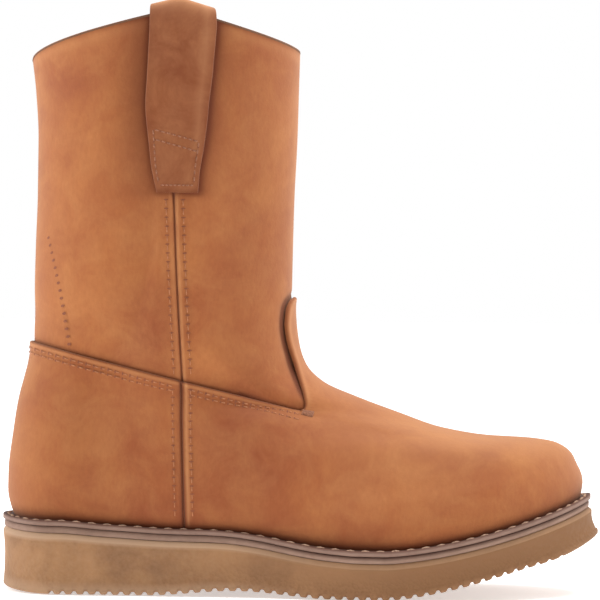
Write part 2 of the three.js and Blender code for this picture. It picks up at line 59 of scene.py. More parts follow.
# Sole sizes, in millimetres
SOLE_LENGTH = 305.0
BALL_WIDTH = 107.5
WAIST_WIDTH = 75.0
HEEL_WIDTH = 77.5
WEDGE_AT_HEEL = 30.4
WEDGE_AT_BALL = 18.0
WEDGE_AT_TOE = 15.5
ARCH_RISE = 2.7
TOE_RISE = 31.0
HEEL_RISE = 2.0
EDGE_INSET = 2.2
TOE_FLARE = 4.7
WALL_HOLLOW = 1.1
LIP_HEIGHT = 2.8
LIP_INSET = 1.5
TREAD_PITCH = 5.85
TREAD_DEPTH = 1.55
MIDSOLE_THICKNESS = 3.1
MIDSOLE_INSET = 0.9
WELT_THICKNESS = 2.6
WELT_ROUND = 0.8
INSOLE_THICKNESS = 4.0
GAP = 0.3

# Upper sizes: rises are heights above the heel's seat
ANKLE_RISE = 80.2
THROAT_RISE = 69.7
COLLAR_BACK_RISE = 234.2
COLLAR_FRONT_RISE = 239.9
COLLAR_CREST = 19.8
CREST_AT = 0.54
DIP_BACK = 1.22
DIP_FRONT = 1.7
SHAFT_DEPTH = 134.0
SHAFT_WIDTH = 104.0
WALL = 2.2
OVERLAY = 1.8
OVERLAY_FACE = GAP + OVERLAY
OVERLAY_TOP = 15.4  # level above the tongue's top
EDGE_ROUND = 1.0
SEAT_CLEARANCE = 0.2
SEAM_BACK_RISE = 94.7
SEAM_THROAT_RISE = 57.5
SIDE_SEAM_LOW = 94.8
SIDE_SEAM_HIGH = 91.4
SEAM_GAP = 0.5
FLAP_RISE = 115.2
FLAP_REACH = 11.5

# Pull strap sizes
STRAP_WIDTH = 32.5
STRAP_THICKNESS = 2.2
STRAP_CENTRE = 90.8
STRAP_SLIP = 2.4
STRAP_TAB_RISE = 165.7
STRAP_SHOULDER = 10.0
STRAP_LOOP = 2.8
STRAP_LIFT = 1.8

# Places along the sole, as shares of its length
HEEL_LANDS = 0.085
ARCH_STARTS = 0.24
ARCH_ENDS = 0.55
TOE_LIFTS = 0.63
TOE_THINS = 0.60
TREAD_STARTS = 0.09
TREAD_ENDS = 0.935
TREAD_FADES = 0.87
FLARE_STARTS = 0.86
HEEL_ROUND_ENDS = 0.122
TOE_ROUND_STARTS = 0.675
OUTLINE_ROUNDNESS = 2.3
HEEL_CUP_ROUNDNESS = 2.15
FOLD_SQUARENESS = 0.77
WAIST_SHARE = 0.45

# Swelling of the rubber under the toe, in millimetres
TOE_FILL = 2.0
TOE_FILL_AT = 284.0
TOE_FILL_WIDTH = 18.0

# Share of the way from WEDGE_AT_BALL to WEDGE_AT_HEEL, along the sole
WEDGE_ROWS = np.array([
    [0.00, 0.98],
    [0.10, 1.00],
    [0.17, 0.88],
    [0.25, 0.76],
    [0.34, 0.55],
    [0.42, 0.34],
    [0.50, 0.15],
    [0.58, 0.00],
])

# Along the welt: shares of heel, waist and ball width, and bend as a share of BALL_WIDTH
OUTLINE_ROWS = np.array([
    [0.00, 1, 0, 0, 0.000],
    [0.16, 1, 0, 0, -0.002],
    [0.37, 0, 1, 0, -0.032],
    [0.67, 0, 0, 1, -0.016],
    [0.85, 0, 0, 1, 0.024],
    [1.00, 0, 0, 1, 0.060],
])

RING_COLUMNS = (
    "back", "back_up", "nose", "nose_up", "sag", "heel", "waist", "ball",
    "heel_at", "ball_at", "round", "lean", "crest",
)

# Rings of the foot from the seat up: lengths are shares of SOLE_LENGTH, widths of half the sole's
# widths, lean of BALL_WIDTH and heights of the rises to ankle and throat
FOOT_RINGS = np.array([
    [0.0311, 0.000, 0.951, 0.000, 1.00, 0.762, 0.773, 0.828, 0.138, 0.672, 2.3, 0.000, 0],
    [0.0210, 0.080, 0.960, 0.095, 1.00, 0.832, 0.856, 0.878, 0.138, 0.672, 2.3, 0.000, 0],
    [0.0144, 0.200, 0.961, 0.196, 0.95, 0.888, 0.940, 0.908, 0.138, 0.672, 2.3, 0.000, 0],
    [0.0151, 0.338, 0.951, 0.322, 0.88, 0.893, 0.965, 0.886, 0.138, 0.672, 2.3, 0.000, 0],
    [0.0169, 0.411, 0.942, 0.403, 0.83, 0.881, 0.970, 0.852, 0.138, 0.669, 2.3, 0.002, 0],
    [0.0193, 0.481, 0.923, 0.472, 0.75, 0.867, 0.973, 0.815, 0.138, 0.666, 2.3, 0.005, 0],
    [0.0223, 0.563, 0.879, 0.526, 0.60, 0.846, 0.976, 0.753, 0.138, 0.666, 2.2, 0.009, 0],
    [0.0249, 0.638, 0.813, 0.543, 0.45, 0.828, 0.981, 0.694, 0.138, 0.656, 2.2, 0.019, 0],
    [0.0282, 0.719, 0.734, 0.606, 0.28, 0.815, 0.987, 0.586, 0.138, 0.623, 2.1, 0.028, 0],
    [0.0328, 0.806, 0.656, 0.737, 0.12, 0.815, 0.992, 0.540, 0.144, 0.492, 1.7, 0.037, 0],
    [0.0393, 0.900, 0.584, 0.871, 0.04, 0.836, 1.013, 0.614, 0.154, 0.443, 1.6, 0.037, 0],
    [0.0452, 1.000, 0.530, 1.000, 0.00, 0.883, 1.051, 0.688, 0.171, 0.393, 1.7, 0.028, 0],
])

# Rings of the shaft: lengths are shares of SHAFT_DEPTH, widths of half SHAFT_WIDTH
SHAFT_RINGS = np.array([
    [0.1090, 0.058, 1.137, 0.056, 0.00, 0.702, 0.788, 0.779, 0.433, 0.806, 1.9, 0.019, 0.00],
    [0.1097, 0.136, 1.104, 0.132, 0.00, 0.760, 0.827, 0.827, 0.493, 0.724, 2.0, 0.009, 0.00],
    [0.1104, 0.240, 1.091, 0.244, 0.00, 0.827, 0.865, 0.865, 0.537, 0.672, 2.0, 0.000, 0.00],
    [0.1134, 0.390, 1.093, 0.397, 0.00, 0.885, 0.904, 0.904, 0.567, 0.642, 2.0, 0.000, 0.06],
    [0.1187, 0.552, 1.097, 0.561, 0.00, 0.933, 0.938, 0.938, 0.575, 0.634, 2.0, 0.000, 0.22],
    [0.1194, 0.734, 1.106, 0.737, 0.00, 0.965, 0.968, 0.968, 0.582, 0.627, 2.0, 0.000, 0.52],
    [0.1090, 0.890, 1.110, 0.890, 0.00, 0.988, 0.990, 0.990, 0.590, 0.619, 2.0, 0.000, 0.82],
    [0.0940, 1.000, 1.113, 1.000, 0.00, 1.008, 1.010, 1.010, 0.597, 0.612, 2.0, 0.000, 1.00],
])

# Back edge of the vamp's tongue: share of its height, and how far behind the boot's front
FLAP_ROWS = np.array([
    [0.00, 3.27],
    [0.05, 2.50],
    [0.14, 1.50],
    [0.24, 0.82],
    [0.36, 0.46],
    [0.49, 0.40],
    [0.62, 0.43],
    [0.75, 0.43],
    [0.87, 0.34],
    [0.95, 0.20],
    [1.00, -0.04],
])

# A strap's leg from the tab up: half width, slip and lift, as shares of their sizes
STRAP_ROWS = np.array([
    [0.00, 0.61, -0.71, 0.00],
    [0.16, 0.74, -1.12, 0.00],
    [0.31, 0.84, -1.00, 0.10],
    [0.50, 0.93, -1.02, 0.60],
    [0.72, 0.96, -0.52, 1.00],
    [1.00, 0.985, 0.05, 0.80],
])

# Where the side seam of the shaft runs, from the counter's edge up: height and x
SHAFT_SEAM = np.array([
    [107.0, 92.0],
    [112.0, 91.7],
    [125.0, 90.9],
    [147.0, 89.7],
    [167.0, 88.6],
    [182.0, 88.0],
    [206.0, 87.0],
])

# The stay at the back of the shaft ends in this row of stitches, seen from the side: x and height
STAY_ROW = np.array([
    [23.6, 178.0],
    [27.6, 162.0],
    [30.0, 152.0],
    [32.0, 142.0],
    [33.7, 132.0],
    [35.8, 121.0],
])

# Mesh fineness
SIDE_STEPS = 210
ROW_HEIGHT = 1.9


def curve(at, xs, ys):
    """Smooth curve through points, without overshoot between them."""
    xs = np.asarray(xs, float)
    ys = np.asarray(ys, float)
    slopes = np.diff(ys) / np.diff(xs)
    before, after = slopes[:-1], slopes[1:]
    rising = before * after > 0
    tangents = np.concatenate([slopes[:1], np.zeros(len(xs) - 2), slopes[-1:]])
    tangents[1:-1][rising] = (2 * before * after)[rising] / (before + after)[rising]
    at = np.clip(at, xs[0], xs[-1])
    i = np.clip(np.searchsorted(xs, at) - 1, 0, len(xs) - 2)
    span = xs[i + 1] - xs[i]
    t = (at - xs[i]) / span
    ease = t * t * (3 - 2 * t)
    into = t * (1 - t) ** 2 * tangents[i] * span
    out = t * t * (1 - t) * tangents[i + 1] * span
    return ys[i] + (ys[i + 1] - ys[i]) * ease + into - out


def mix(a, b, share):
    return a + (b - a) * share


def smooth(x, start, end):
    t = np.clip((x - start) / (end - start), 0, 1)
    return t * t * (3 - 2 * t)


def bump(x, centre, width):
    """1 at the centre, falling softly to nothing about two widths away."""
    return np.exp(-(((x - centre) / width) ** 2))


def unit(v):
    return v / np.maximum(np.linalg.norm(v, axis=-1, keepdims=True), 1e-9)


# Sole profile

def tread_height(x):
    at = np.asarray(x, float) / SOLE_LENGTH
    heel = HEEL_RISE * (1 - np.clip(at, 0, HEEL_LANDS) / HEEL_LANDS) ** 2
    arch_turn = np.clip((at - ARCH_STARTS) / (ARCH_ENDS - ARCH_STARTS), 0, 1)
    arch = ARCH_RISE * np.sin(math.pi * arch_turn) ** 2
    toe = TOE_RISE * np.maximum((at - TOE_LIFTS) / (1 - TOE_LIFTS), 0) ** 1.5
    return heel + arch + toe


def tread_slope(x):
    return np.arctan2(tread_height(x + 1) - tread_height(x - 1), 2)


def rubber_top(x):
    at = np.asarray(x, float) / SOLE_LENGTH
    behind = mix(WEDGE_AT_BALL, WEDGE_AT_HEEL, curve(at, *WEDGE_ROWS.T))
    return tread_height(x) + mix(behind, WEDGE_AT_TOE, smooth(at, TOE_THINS, 1))


def midsole_top(x):
    return rubber_top(x) + GAP + MIDSOLE_THICKNESS


def seat(x):
    return midsole_top(x) + GAP


HEEL_SEAT = float(seat(FOOT_RINGS[0, 0] * SOLE_LENGTH))

# Plan of the sole

WELT_LENGTH = SOLE_LENGTH - TOE_FLARE


def cap(share, roundness):
    """Share of the full width left by a round end."""
    return np.sqrt(np.maximum(1 - np.maximum(share, 0) ** roundness, 0))


def bend(x):
    return BALL_WIDTH * curve(np.asarray(x) / SOLE_LENGTH, OUTLINE_ROWS[:, 0], OUTLINE_ROWS[:, 4])


def outline_half_width(x):
    at = x / WELT_LENGTH
    widths = (HEEL_WIDTH, WAIST_WIDTH, BALL_WIDTH)
    full = sum(w * curve(at, OUTLINE_ROWS[:, 0], OUTLINE_ROWS[:, k + 1]) for k, w in enumerate(widths)) / 2
    heel_share = (HEEL_ROUND_ENDS - at) / HEEL_ROUND_ENDS
    toe_share = (at - TOE_ROUND_STARTS) / (1 - TOE_ROUND_STARTS)
    return full * cap(heel_share, OUTLINE_ROUNDNESS) * cap(toe_share, OUTLINE_ROUNDNESS)


def outline_point(turn):
    """Point of the sole's outline: turn runs from the heel (0) along the outer side to the toe (1)."""
    turn = np.mod(turn, 2)
    x = WELT_LENGTH * (1 - np.cos(math.pi * np.minimum(turn, 2 - turn))) / 2
    side = np.where(turn <= 1, -1, 1)
    return np.column_stack([x, bend(x) + side * outline_half_width(x)])


def outline_inward(turn):
    """Unit vector into the sole from its outline."""
    along = unit(outline_point(turn + 1e-3) - outline_point(turn - 1e-3))
    return np.column_stack([-along[:, 1], along[:, 0]])


def sole_ring(turn, inset, height, flare=0.0, lift=0.0):
    """Ring of points inset inside the sole's outline, lifted over a height that is a function of x."""
    point = outline_point(turn) + outline_inward(turn) * np.reshape(inset, (-1, 1))
    x = point[:, 0] + TOE_FLARE * flare * smooth(point[:, 0], FLARE_STARTS * SOLE_LENGTH, WELT_LENGTH)
    return np.column_stack([x, point[:, 1], height(x) + lift])


# The upper's form

def rings_in_millimetres():
    """Columns of the rings of foot and shaft, each in millimetres."""
    foot = dict(zip(RING_COLUMNS, FOOT_RINGS.T))
    shaft = dict(zip(RING_COLUMNS, SHAFT_RINGS.T))
    rings = {}
    for key in ("back", "nose", "heel_at", "ball_at"):
        rings[key] = np.concatenate([foot[key] * SOLE_LENGTH, shaft[key] * SHAFT_DEPTH])
    for key, width in (("heel", HEEL_WIDTH), ("waist", WAIST_WIDTH), ("ball", BALL_WIDTH)):
        rings[key] = np.concatenate([foot[key] * width, shaft[key] * SHAFT_WIDTH]) / 2
    for key in ("sag", "round", "crest"):
        rings[key] = np.concatenate([foot[key], shaft[key]])
    rings["lean"] = np.concatenate([foot["lean"], shaft["lean"]]) * BALL_WIDTH
    nose_seat = seat(foot["nose"][0] * SOLE_LENGTH)
    rings["back_z"] = np.concatenate([
        HEEL_SEAT + ANKLE_RISE * foot["back_up"],
        HEEL_SEAT + mix(ANKLE_RISE, COLLAR_BACK_RISE, shaft["back_up"]),
    ])
    rings["nose_z"] = np.concatenate([
        mix(nose_seat, HEEL_SEAT + THROAT_RISE, foot["nose_up"]),
        HEEL_SEAT + mix(THROAT_RISE, COLLAR_FRONT_RISE, shaft["nose_up"]),
    ])
    return rings


RINGS = rings_in_millimetres()
TOP_LEVEL = len(RINGS["back"]) - 1
ANKLE_LEVEL = len(FOOT_RINGS) - 1
BEND_FADES = (ANKLE_LEVEL - 5, ANKLE_LEVEL + 2)


def ring_at(level):
    steps = np.arange(TOP_LEVEL + 1)
    return {key: curve(level, steps, column) for key, column in RINGS.items()}


def half_width_along(ring, x):
    """Half width of a ring at x, through its heel, waist and ball."""
    waist_at = mix(ring["heel_at"], ring["ball_at"], WAIST_SHARE)
    first = (ring["waist"] - ring["heel"]) / (waist_at - ring["heel_at"])
    second = (ring["ball"] - ring["waist"]) / (ring["ball_at"] - waist_at)
    product = first * second
    rising = product > 0
    middle = np.where(rising, 2 * product / np.where(rising, first + second, 1), 0)
    behind = x < waist_at
    a_at, b_at = np.where(behind, ring["heel_at"], waist_at), np.where(behind, waist_at, ring["ball_at"])
    a, b = np.where(behind, ring["heel"], ring["waist"]), np.where(behind, ring["waist"], ring["ball"])
    into, out = np.where(behind, first, middle), np.where(behind, middle, second)
    span = b_at - a_at
    t = np.clip((x - a_at) / span, 0, 1)
    return a + (b - a) * t * t * (3 - 2 * t) + t * (1 - t) ** 2 * into * span - t * t * (1 - t) * out * span


def surface(level, turn):
    """Points of the upper's form. level counts rings from the seat; turn runs from the back (0)
    along the outer side to the front (1) and along the inner side to the back (2)."""
    level = np.clip(level, 0, TOP_LEVEL)
    ring = ring_at(level)
    turn = np.mod(turn, 2)
    away = np.minimum(turn, 2 - turn)
    side = np.where(turn <= 1, -1, 1)
    x = mix(ring["back"], ring["nose"], (1 - np.cos(math.pi * away)) / 2)
    heel_share = (ring["heel_at"] - x) / (ring["heel_at"] - ring["back"])
    nose_share = (x - ring["ball_at"]) / (ring["nose"] - ring["ball_at"])
    half = half_width_along(ring, x) * cap(heel_share, HEEL_CUP_ROUNDNESS) * cap(nose_share, ring["round"])
    along = (x - ring["back"]) / (ring["nose"] - ring["back"])
    flat = mix(seat(ring["back"]), seat(ring["nose"]), along)
    behind = away < CREST_AT
    crest = np.where(
        behind,
        np.minimum(away / CREST_AT, 1) ** DIP_BACK,
        np.clip((1 - away) / (1 - CREST_AT), 0, 1) ** DIP_FRONT,
    )
    z = mix(ring["back_z"], ring["nose_z"], along)
    z = z + ring["sag"] * (seat(x) - flat) + ring["crest"] * COLLAR_CREST * crest
    y = bend(x) * (1 - smooth(level, *BEND_FADES)) + ring["lean"] * along + side * half
    return np.column_stack([x, y, z])


def outward(level, turn):
    """Unit vectors out of the upper's form."""
    level = np.clip(level, 0, TOP_LEVEL)
    above = surface(np.minimum(level + 0.02, TOP_LEVEL), turn)
    below = surface(np.maximum(level - 0.02, 0), turn)
    ahead = surface(level, turn + 0.004)
    behind = surface(level, turn - 0.004)
    return unit(np.cross(ahead - behind, above - below))


def skin(level, turn, out):
    return surface(level, turn) + outward(level, turn) * np.reshape(out, (-1, 1))


def turn_at(ring, x, side):
    share = np.clip(1 - 2 * (x - ring["back"]) / (ring["nose"] - ring["back"]), -1, 1)
    away = np.arccos(share) / math.pi
    return np.where(np.asarray(side) < 0, away, 2 - away)


def place(x, z, side):
    """Level and turn of the points of the form's side at x and z, seen from the side."""
    x, z, side = np.broadcast_arrays(np.asarray(x, float), np.asarray(z, float), side)
    low, high = np.zeros(len(x)), np.full(len(x), float(TOP_LEVEL))
    for _ in range(26):
        level = (low + high) / 2
        under = surface(level, turn_at(ring_at(level), x, side))[:, 2] < z
        low, high = np.where(under, level, low), np.where(under, high, level)
    level = (low + high) / 2
    return level, turn_at(ring_at(level), x, side)


# Outlines of the leather pieces, seen from the side: arrays of x and z

def tongue_edge():
    z = HEEL_SEAT + mix(SEAM_THROAT_RISE, FLAP_RISE, FLAP_ROWS[:, 0])
    front = curve(z, RINGS["nose_z"], RINGS["nose"])
    return np.column_stack([front - FLAP_ROWS[:, 1] * FLAP_REACH, z])


TONGUE = tongue_edge()
THROAT_X = TONGUE[0, 0]


def seam_height(x):
    """Height of the seam where counter and vamp end."""
    return HEEL_SEAT + mix(SEAM_BACK_RISE, SEAM_THROAT_RISE, x / THROAT_X)


def side_seam(z):
    """x of the seam between counter and vamp."""
    return mix(SIDE_SEAM_LOW, SIDE_SEAM_HIGH, z / seam_height(SIDE_SEAM_HIGH))


def shaft_seam(z):
    """x of the side seam of the shaft."""
    return curve(z, *SHAFT_SEAM.T)


def vamp_edge():
    """Edge of the vamp: along the seam to the throat, and up the tongue to its top."""
    x = np.linspace(40, THROAT_X - 1.0, 40)
    seam = np.column_stack([x, seam_height(x)])
    z = np.linspace(TONGUE[0, 1] + 1.0, TONGUE[-1, 1], 60)
    tongue = np.column_stack([curve(z, TONGUE[:, 1], TONGUE[:, 0]), z])
    top = np.array([[TONGUE[-1, 0] + 1.5, TONGUE[-1, 1] + 0.2], [200.0, TONGUE[-1, 1] + 0.2]])
    return np.vstack([seam, tongue, top])


VAMP_EDGE = vamp_edge()


def edge_distance(points, line):
    """Distance from a line in x and z, negative on its right hand side."""
    a, b = line[:-1], line[1:]
    along = b - a
    length = np.linalg.norm(along, axis=1)
    rest = points[:, None, :] - a[None, :, :]
    share = np.clip((rest * along).sum(2) / length ** 2, 0, 1)
    gap = rest - share[:, :, None] * along[None, :, :]
    distance = np.linalg.norm(gap, axis=2)
    nearest = distance.argmin(1)
    rows = np.arange(len(points))
    a_to = rest[rows, nearest]
    way = along[nearest]
    cross = way[:, 0] * a_to[:, 1] - way[:, 1] * a_to[:, 0]
    return distance[rows, nearest] * np.where(cross > 0, 1, -1)


# Sheets of triangles over the form, held as level and turn

def grid_faces(rows, columns):
    """Triangles of a grid of points."""
    i, k = np.meshgrid(np.arange(rows - 1), np.arange(columns - 1), indexing="ij")
    a = (i * columns + k).ravel()
    b, c, d = a + 1, a + columns + 1, a + columns
    return np.vstack([np.column_stack([a, b, c]), np.column_stack([a, c, d])])


class Sheet:
    """Triangles over the upper's form that can be cut along lines."""

    def __init__(self, levels, turns):
        level, turn = np.meshgrid(levels, turns, indexing="ij")
        self.params = np.column_stack([level.ravel(), turn.ravel()])
        self.faces = grid_faces(len(levels), len(turns))

    def points(self):
        return surface(self.params[:, 0], self.params[:, 1])

    def cut(self, field, values, snap=0.06):
        """Splits the triangles where the field passes each value."""
        for value in values:
            self.cut_once(field, value, snap)

    def cut_once(self, field, value, snap):
        f = field(self.points()) - value
        f = np.where(np.abs(f) < snap, 0, f)
        count = len(self.params)
        edges = np.sort(self.faces[:, [[0, 1], [1, 2], [2, 0]]].reshape(-1, 2), axis=1)
        crossing = f[edges[:, 0]] * f[edges[:, 1]] < 0
        keys, inverse = np.unique(edges[crossing] @ np.array([count, 1]), return_inverse=True)
        a, b = keys // count, keys % count
        share = (f[a] / (f[a] - f[b]))[:, None]
        self.params = np.vstack([self.params, mix(self.params[a], self.params[b], share)])
        middle = np.full(len(edges), -1)
        middle[crossing] = count + inverse
        middle = middle.reshape(-1, 3)
        crossings = (middle >= 0).sum(1)
        faces = [self.faces[crossings == 0]]
        face, new = self.faces[crossings == 1], middle[crossings == 1]
        rows = np.arange(len(face))
        k = (new >= 0).argmax(1)
        a, b, c, p = face[rows, (k + 2) % 3], face[rows, k], face[rows, (k + 1) % 3], new[rows, k]
        faces += [np.column_stack([a, b, p]), np.column_stack([a, p, c])]
        face, new = self.faces[crossings == 2], middle[crossings == 2]
        rows = np.arange(len(face))
        k = (new < 0).argmax(1)
        a, b, c = face[rows, (k + 2) % 3], face[rows, k], face[rows, (k + 1) % 3]
        p, q = new[rows, (k + 1) % 3], new[rows, (k + 2) % 3]
        faces += [np.column_stack([a, q, p]), np.column_stack([q, b, c]), np.column_stack([q, c, p])]
        self.faces = np.vstack(faces)

    def keep(self, field, value=0.0):
        """Cuts along the field's value and keeps what lies below it."""
        self.cut(field, [value])
        f = field(self.points()) - value
        self.faces = self.faces[f[self.faces].mean(1) < 0]
        used, inverse = np.unique(self.faces, return_inverse=True)
        self.params = self.params[used]
        self.faces = inverse.reshape(-1, 3)


def thick_solid(outer, inner, faces):
    """Closed solid between two copies of a sheet."""
    edges = faces[:, [[0, 1], [1, 2], [2, 0]]].reshape(-1, 2)
    key = np.sort(edges, axis=1) @ np.array([len(outer) + 1, 1])
    _, first, counts = np.unique(key, return_index=True, return_counts=True)
    rim = edges[first[counts == 1]]
    n = len(outer)
    a, b = rim.T
    walls = np.vstack([np.column_stack([b, a, a + n]), np.column_stack([b, a + n, b + n])])
    return np.vstack([outer, inner]), np.vstack([faces, faces[:, ::-1] + n, walls])


def form_levels(first, last, height=ROW_HEIGHT):
    """Levels about a row's height apart."""
    levels = [first]
    for k in range(int(math.floor(first)), int(math.ceil(last))):
        low, high = max(first, k), min(last, k + 1)
        rise = abs(surface(high, 0.5)[0, 2] - surface(low, 0.5)[0, 2])
        steps = max(int(math.ceil(rise / height)), 2)
        levels += list(np.linspace(low, high, steps + 1)[1:])
    return np.array(levels)


# Meshes in Blender

shift = np.array([cad_box[0][0] * 1000, 0.0, 0.0])


def weld(points, faces):
    """Joins points that lie together, and drops the faces that collapse."""
    keys = np.round(points, 3)
    _, first, inverse = np.unique(keys, axis=0, return_index=True, return_inverse=True)
    faces = inverse.reshape(-1)[faces]
    flat = (faces[:, 0] == faces[:, 1]) | (faces[:, 1] == faces[:, 2]) | (faces[:, 0] == faces[:, 2])
    return first, faces[~flat]


def mesh_piece(name, points, faces, material, nodes=(), slot=None, colours=None, sharp=38):
    """A piece of the boot from points in millimetres, welded, in the row frame."""
    points = np.asarray(points, float)
    first, faces = weld(points, np.asarray(faces))
    mesh = bpy.data.meshes.new(name)
    mesh.from_pydata(((points[first] + shift) / 1000).tolist(), [], faces.tolist())
    for key, values in (colours or {}).items():
        layer = mesh.attributes.new(key, "FLOAT", "POINT")
        layer.data.foreach_set("value", np.asarray(values, np.float32)[first])
    mesh.validate()
    mesh.shade_smooth()
    mesh.set_sharp_from_angle(angle=math.radians(sharp))
    obj = bpy.data.objects.new(name, mesh)
    bpy.context.scene.collection.objects.link(obj)
    mesh.materials.append(material)
    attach(obj, "root")
    if nodes:
        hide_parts(*nodes)


def ring_band(low, high, count):
    """Triangles between two closed rings of count points."""
    i = np.arange(count)
    j = (i + 1) % count
    return np.vstack([
        np.column_stack([low + i, low + j, high + j]),
        np.column_stack([low + i, high + j, high + i]),
    ])


def ring_sleeve(rings, closed=True):
    """Tube through rings of points, joined back to the first where it is closed."""
    count = len(rings[0])
    pairs = len(rings) if closed else len(rings) - 1
    faces = [ring_band(k * count, (k + 1) % len(rings) * count, count) for k in range(pairs)]
    return np.vstack(rings), np.vstack(faces)


def ring_lid(first, count, up):
    """Triangles across a ring of an even number of points."""
    faces = []
    for i in range(count // 2):
        a, b = first + i, first + i + 1
        c, d = first + (count - i - 1) % count, first + (count - i) % count
        faces += [(a, b, c), (a, c, d)] if up else [(a, c, b), (a, d, c)]
    return np.array([f for f in faces if len(set(f)) == 3])


def lidded(rings):
    """Closed solid through rings that lie over each other."""
    points, faces = ring_sleeve(rings, closed=False)
    count = len(rings[0])
    lids = ring_lid(0, count, False), ring_lid((len(rings) - 1) * count, count, True)
    return points, np.vstack([faces, *lids])


def closed_tube(rings):
    """Tube through small rings, with flat ends."""
    points, faces = ring_sleeve(rings, closed=False)
    count = len(rings[0])
    last = (len(rings) - 1) * count
    ends = [(0, k + 1, k) for k in range(1, count - 1)]
    ends += [(last, last + k, last + k + 1) for k in range(1, count - 1)]
    return points, np.vstack([faces, ends])


def joined(parts):
    """One mesh from the points and faces of many."""
    points, faces, first = [], [], 0
    for part_points, part_faces in parts:
        points.append(part_points)
        faces.append(part_faces + first)
        first += len(part_points)
    return np.vstack(points), np.vstack(faces)


# Materials

def new_material(name):
    material = bpy.data.materials.new(name)
    material.use_nodes = True
    tree = material.node_tree
    shader = tree.nodes["Principled BSDF"]
    return material, tree, shader


def linear(red, green, blue):
    """Colour as linear light from 0 to 255 values."""
    def channel(v):
        v = v / 255
        return v / 12.92 if v <= 0.04045 else ((v + 0.055) / 1.055) ** 2.4
    return (channel(red), channel(green), channel(blue), 1.0)


class Nodes:
    """Short ways to add the nodes of a material."""

    def __init__(self, tree):
        self.tree = tree
        self.place = self.add("ShaderNodeTexCoord").outputs["Object"]

    def add(self, kind, **settings):
        node = self.tree.nodes.new(kind)
        for key, value in settings.items():
            setattr(node, key, value)
        return node

    def link(self, source, target):
        self.tree.links.new(source, target)

    def noise(self, scale, detail=3.0, roughness=0.55, distortion=0.0, stretch=None):
        """Noise from 0 to 1 over the object's own place, scale in features a metre."""
        node = self.add("ShaderNodeTexNoise")
        node.inputs["Scale"].default_value = scale
        node.inputs["Detail"].default_value = detail
        node.inputs["Roughness"].default_value = roughness
        node.inputs["Distortion"].default_value = distortion
        source = self.place
        if stretch:
            mapping = self.add("ShaderNodeMapping")
            mapping.inputs["Scale"].default_value = stretch
            self.link(self.place, mapping.inputs["Vector"])
            source = mapping.outputs["Vector"]
        self.link(source, node.inputs["Vector"])
        return node.outputs["Fac"]

    def voronoi(self, scale, feature="F1"):
        node = self.add("ShaderNodeTexVoronoi", feature=feature)
        node.inputs["Scale"].default_value = scale
        self.link(self.place, node.inputs["Vector"])
        return node.outputs["Distance"]

    def ramp(self, value, low, high, to_low=0.0, to_high=1.0):
        node = self.add("ShaderNodeMapRange")
        for key, number in zip(("From Min", "From Max", "To Min", "To Max"), (low, high, to_low, to_high)):
            node.inputs[key].default_value = number
        self.link(value, node.inputs["Value"])
        return node.outputs["Result"]

    def blend(self, share, a, b, mode="MIX"):
        """Mix of two colours, each a socket or a colour."""
        node = self.add("ShaderNodeMix", data_type="RGBA", blend_type=mode)
        for key, colour in (("A", a), ("B", b)):
            socket = [s for s in node.inputs if s.name == key and s.type == "RGBA"][0]
            if isinstance(colour, tuple):
                socket.default_value = colour
            else:
                self.link(colour, socket)
        factor = [s for s in node.inputs if s.name == "Factor" and s.type == "VALUE"][0]
        if isinstance(share, float):
            factor.default_value = share
        else:
            self.link(share, factor)
        return [s for s in node.outputs if s.type == "RGBA"][0]

    def maths(self, operation, a, b):
        node = self.add("ShaderNodeMath", operation=operation)
        for socket, value in zip(node.inputs, (a, b)):
            if isinstance(value, float):
                socket.default_value = value
            else:
                self.link(value, socket)
        return node.outputs["Value"]

    def attribute(self, name):
        return self.add("ShaderNodeAttribute", attribute_name=name).outputs["Fac"]

    def relief(self, layers, shader):
        """Bump from (height, strength, distance in metres) layers."""
        normal = None
        for height, strength, distance in layers:
            node = self.add("ShaderNodeBump")
            node.inputs["Strength"].default_value = strength
            node.inputs["Distance"].default_value = distance
            self.link(height, node.inputs["Height"])
            if normal:
                self.link(normal, node.inputs["Normal"])
            normal = node.outputs["Normal"]
        self.link(normal, shader.inputs["Normal"])


def nubuck(name, tan, deep, pale, shade_and_nap):
    """Nubuck leather: mottled colour, short nap and soft sheen. Its darkening attribute paints shade at
    seams, creases and round the straps, and darker cut edges; its paling attribute paints highlights on lit
    edges and folds.
    """
    material, tree, shader = new_material(name)
    n = Nodes(tree)
    patches = n.ramp(n.noise(16, 4, 0.62, 0.5), 0.34, 0.66)
    clouds = n.ramp(n.noise(46, 5, 0.64, 0.6), 0.38, 0.68)
    nap = n.ramp(n.noise(620, 3, 0.6, 0.0, (1, 1, 0.45)), 0.3, 0.72)
    colour = n.blend(patches, deep, tan)
    colour = n.blend(n.maths("MULTIPLY", clouds, 0.3), colour, pale)
    colour = n.blend(n.maths("MULTIPLY", nap, 0.16), colour, shade_and_nap)
    # Painted highlights from the paling attribute, then painted shade and darker cut edges from the
    # darkening attribute
    colour = n.blend(n.attribute("pale"), colour, pale)
    colour = n.blend(n.attribute("shade_and_burn"), colour, shade_and_nap)
    n.link(colour, shader.inputs["Base Color"])
    n.link(n.ramp(clouds, 0, 1, 0.78, 0.95), shader.inputs["Roughness"])
    shader.inputs["Sheen Weight"].default_value = 0.3
    shader.inputs["Sheen Roughness"].default_value = 0.55
    shader.inputs["Sheen Tint"].default_value = linear(228, 200, 170)
    shader.inputs["Specular IOR Level"].default_value = 0.25
    n.relief([
        (n.noise(45, 4, 0.6), 0.25, 0.0016),
        (n.noise(900, 3, 0.65), 0.35, 0.00025),
    ], shader)
    return material


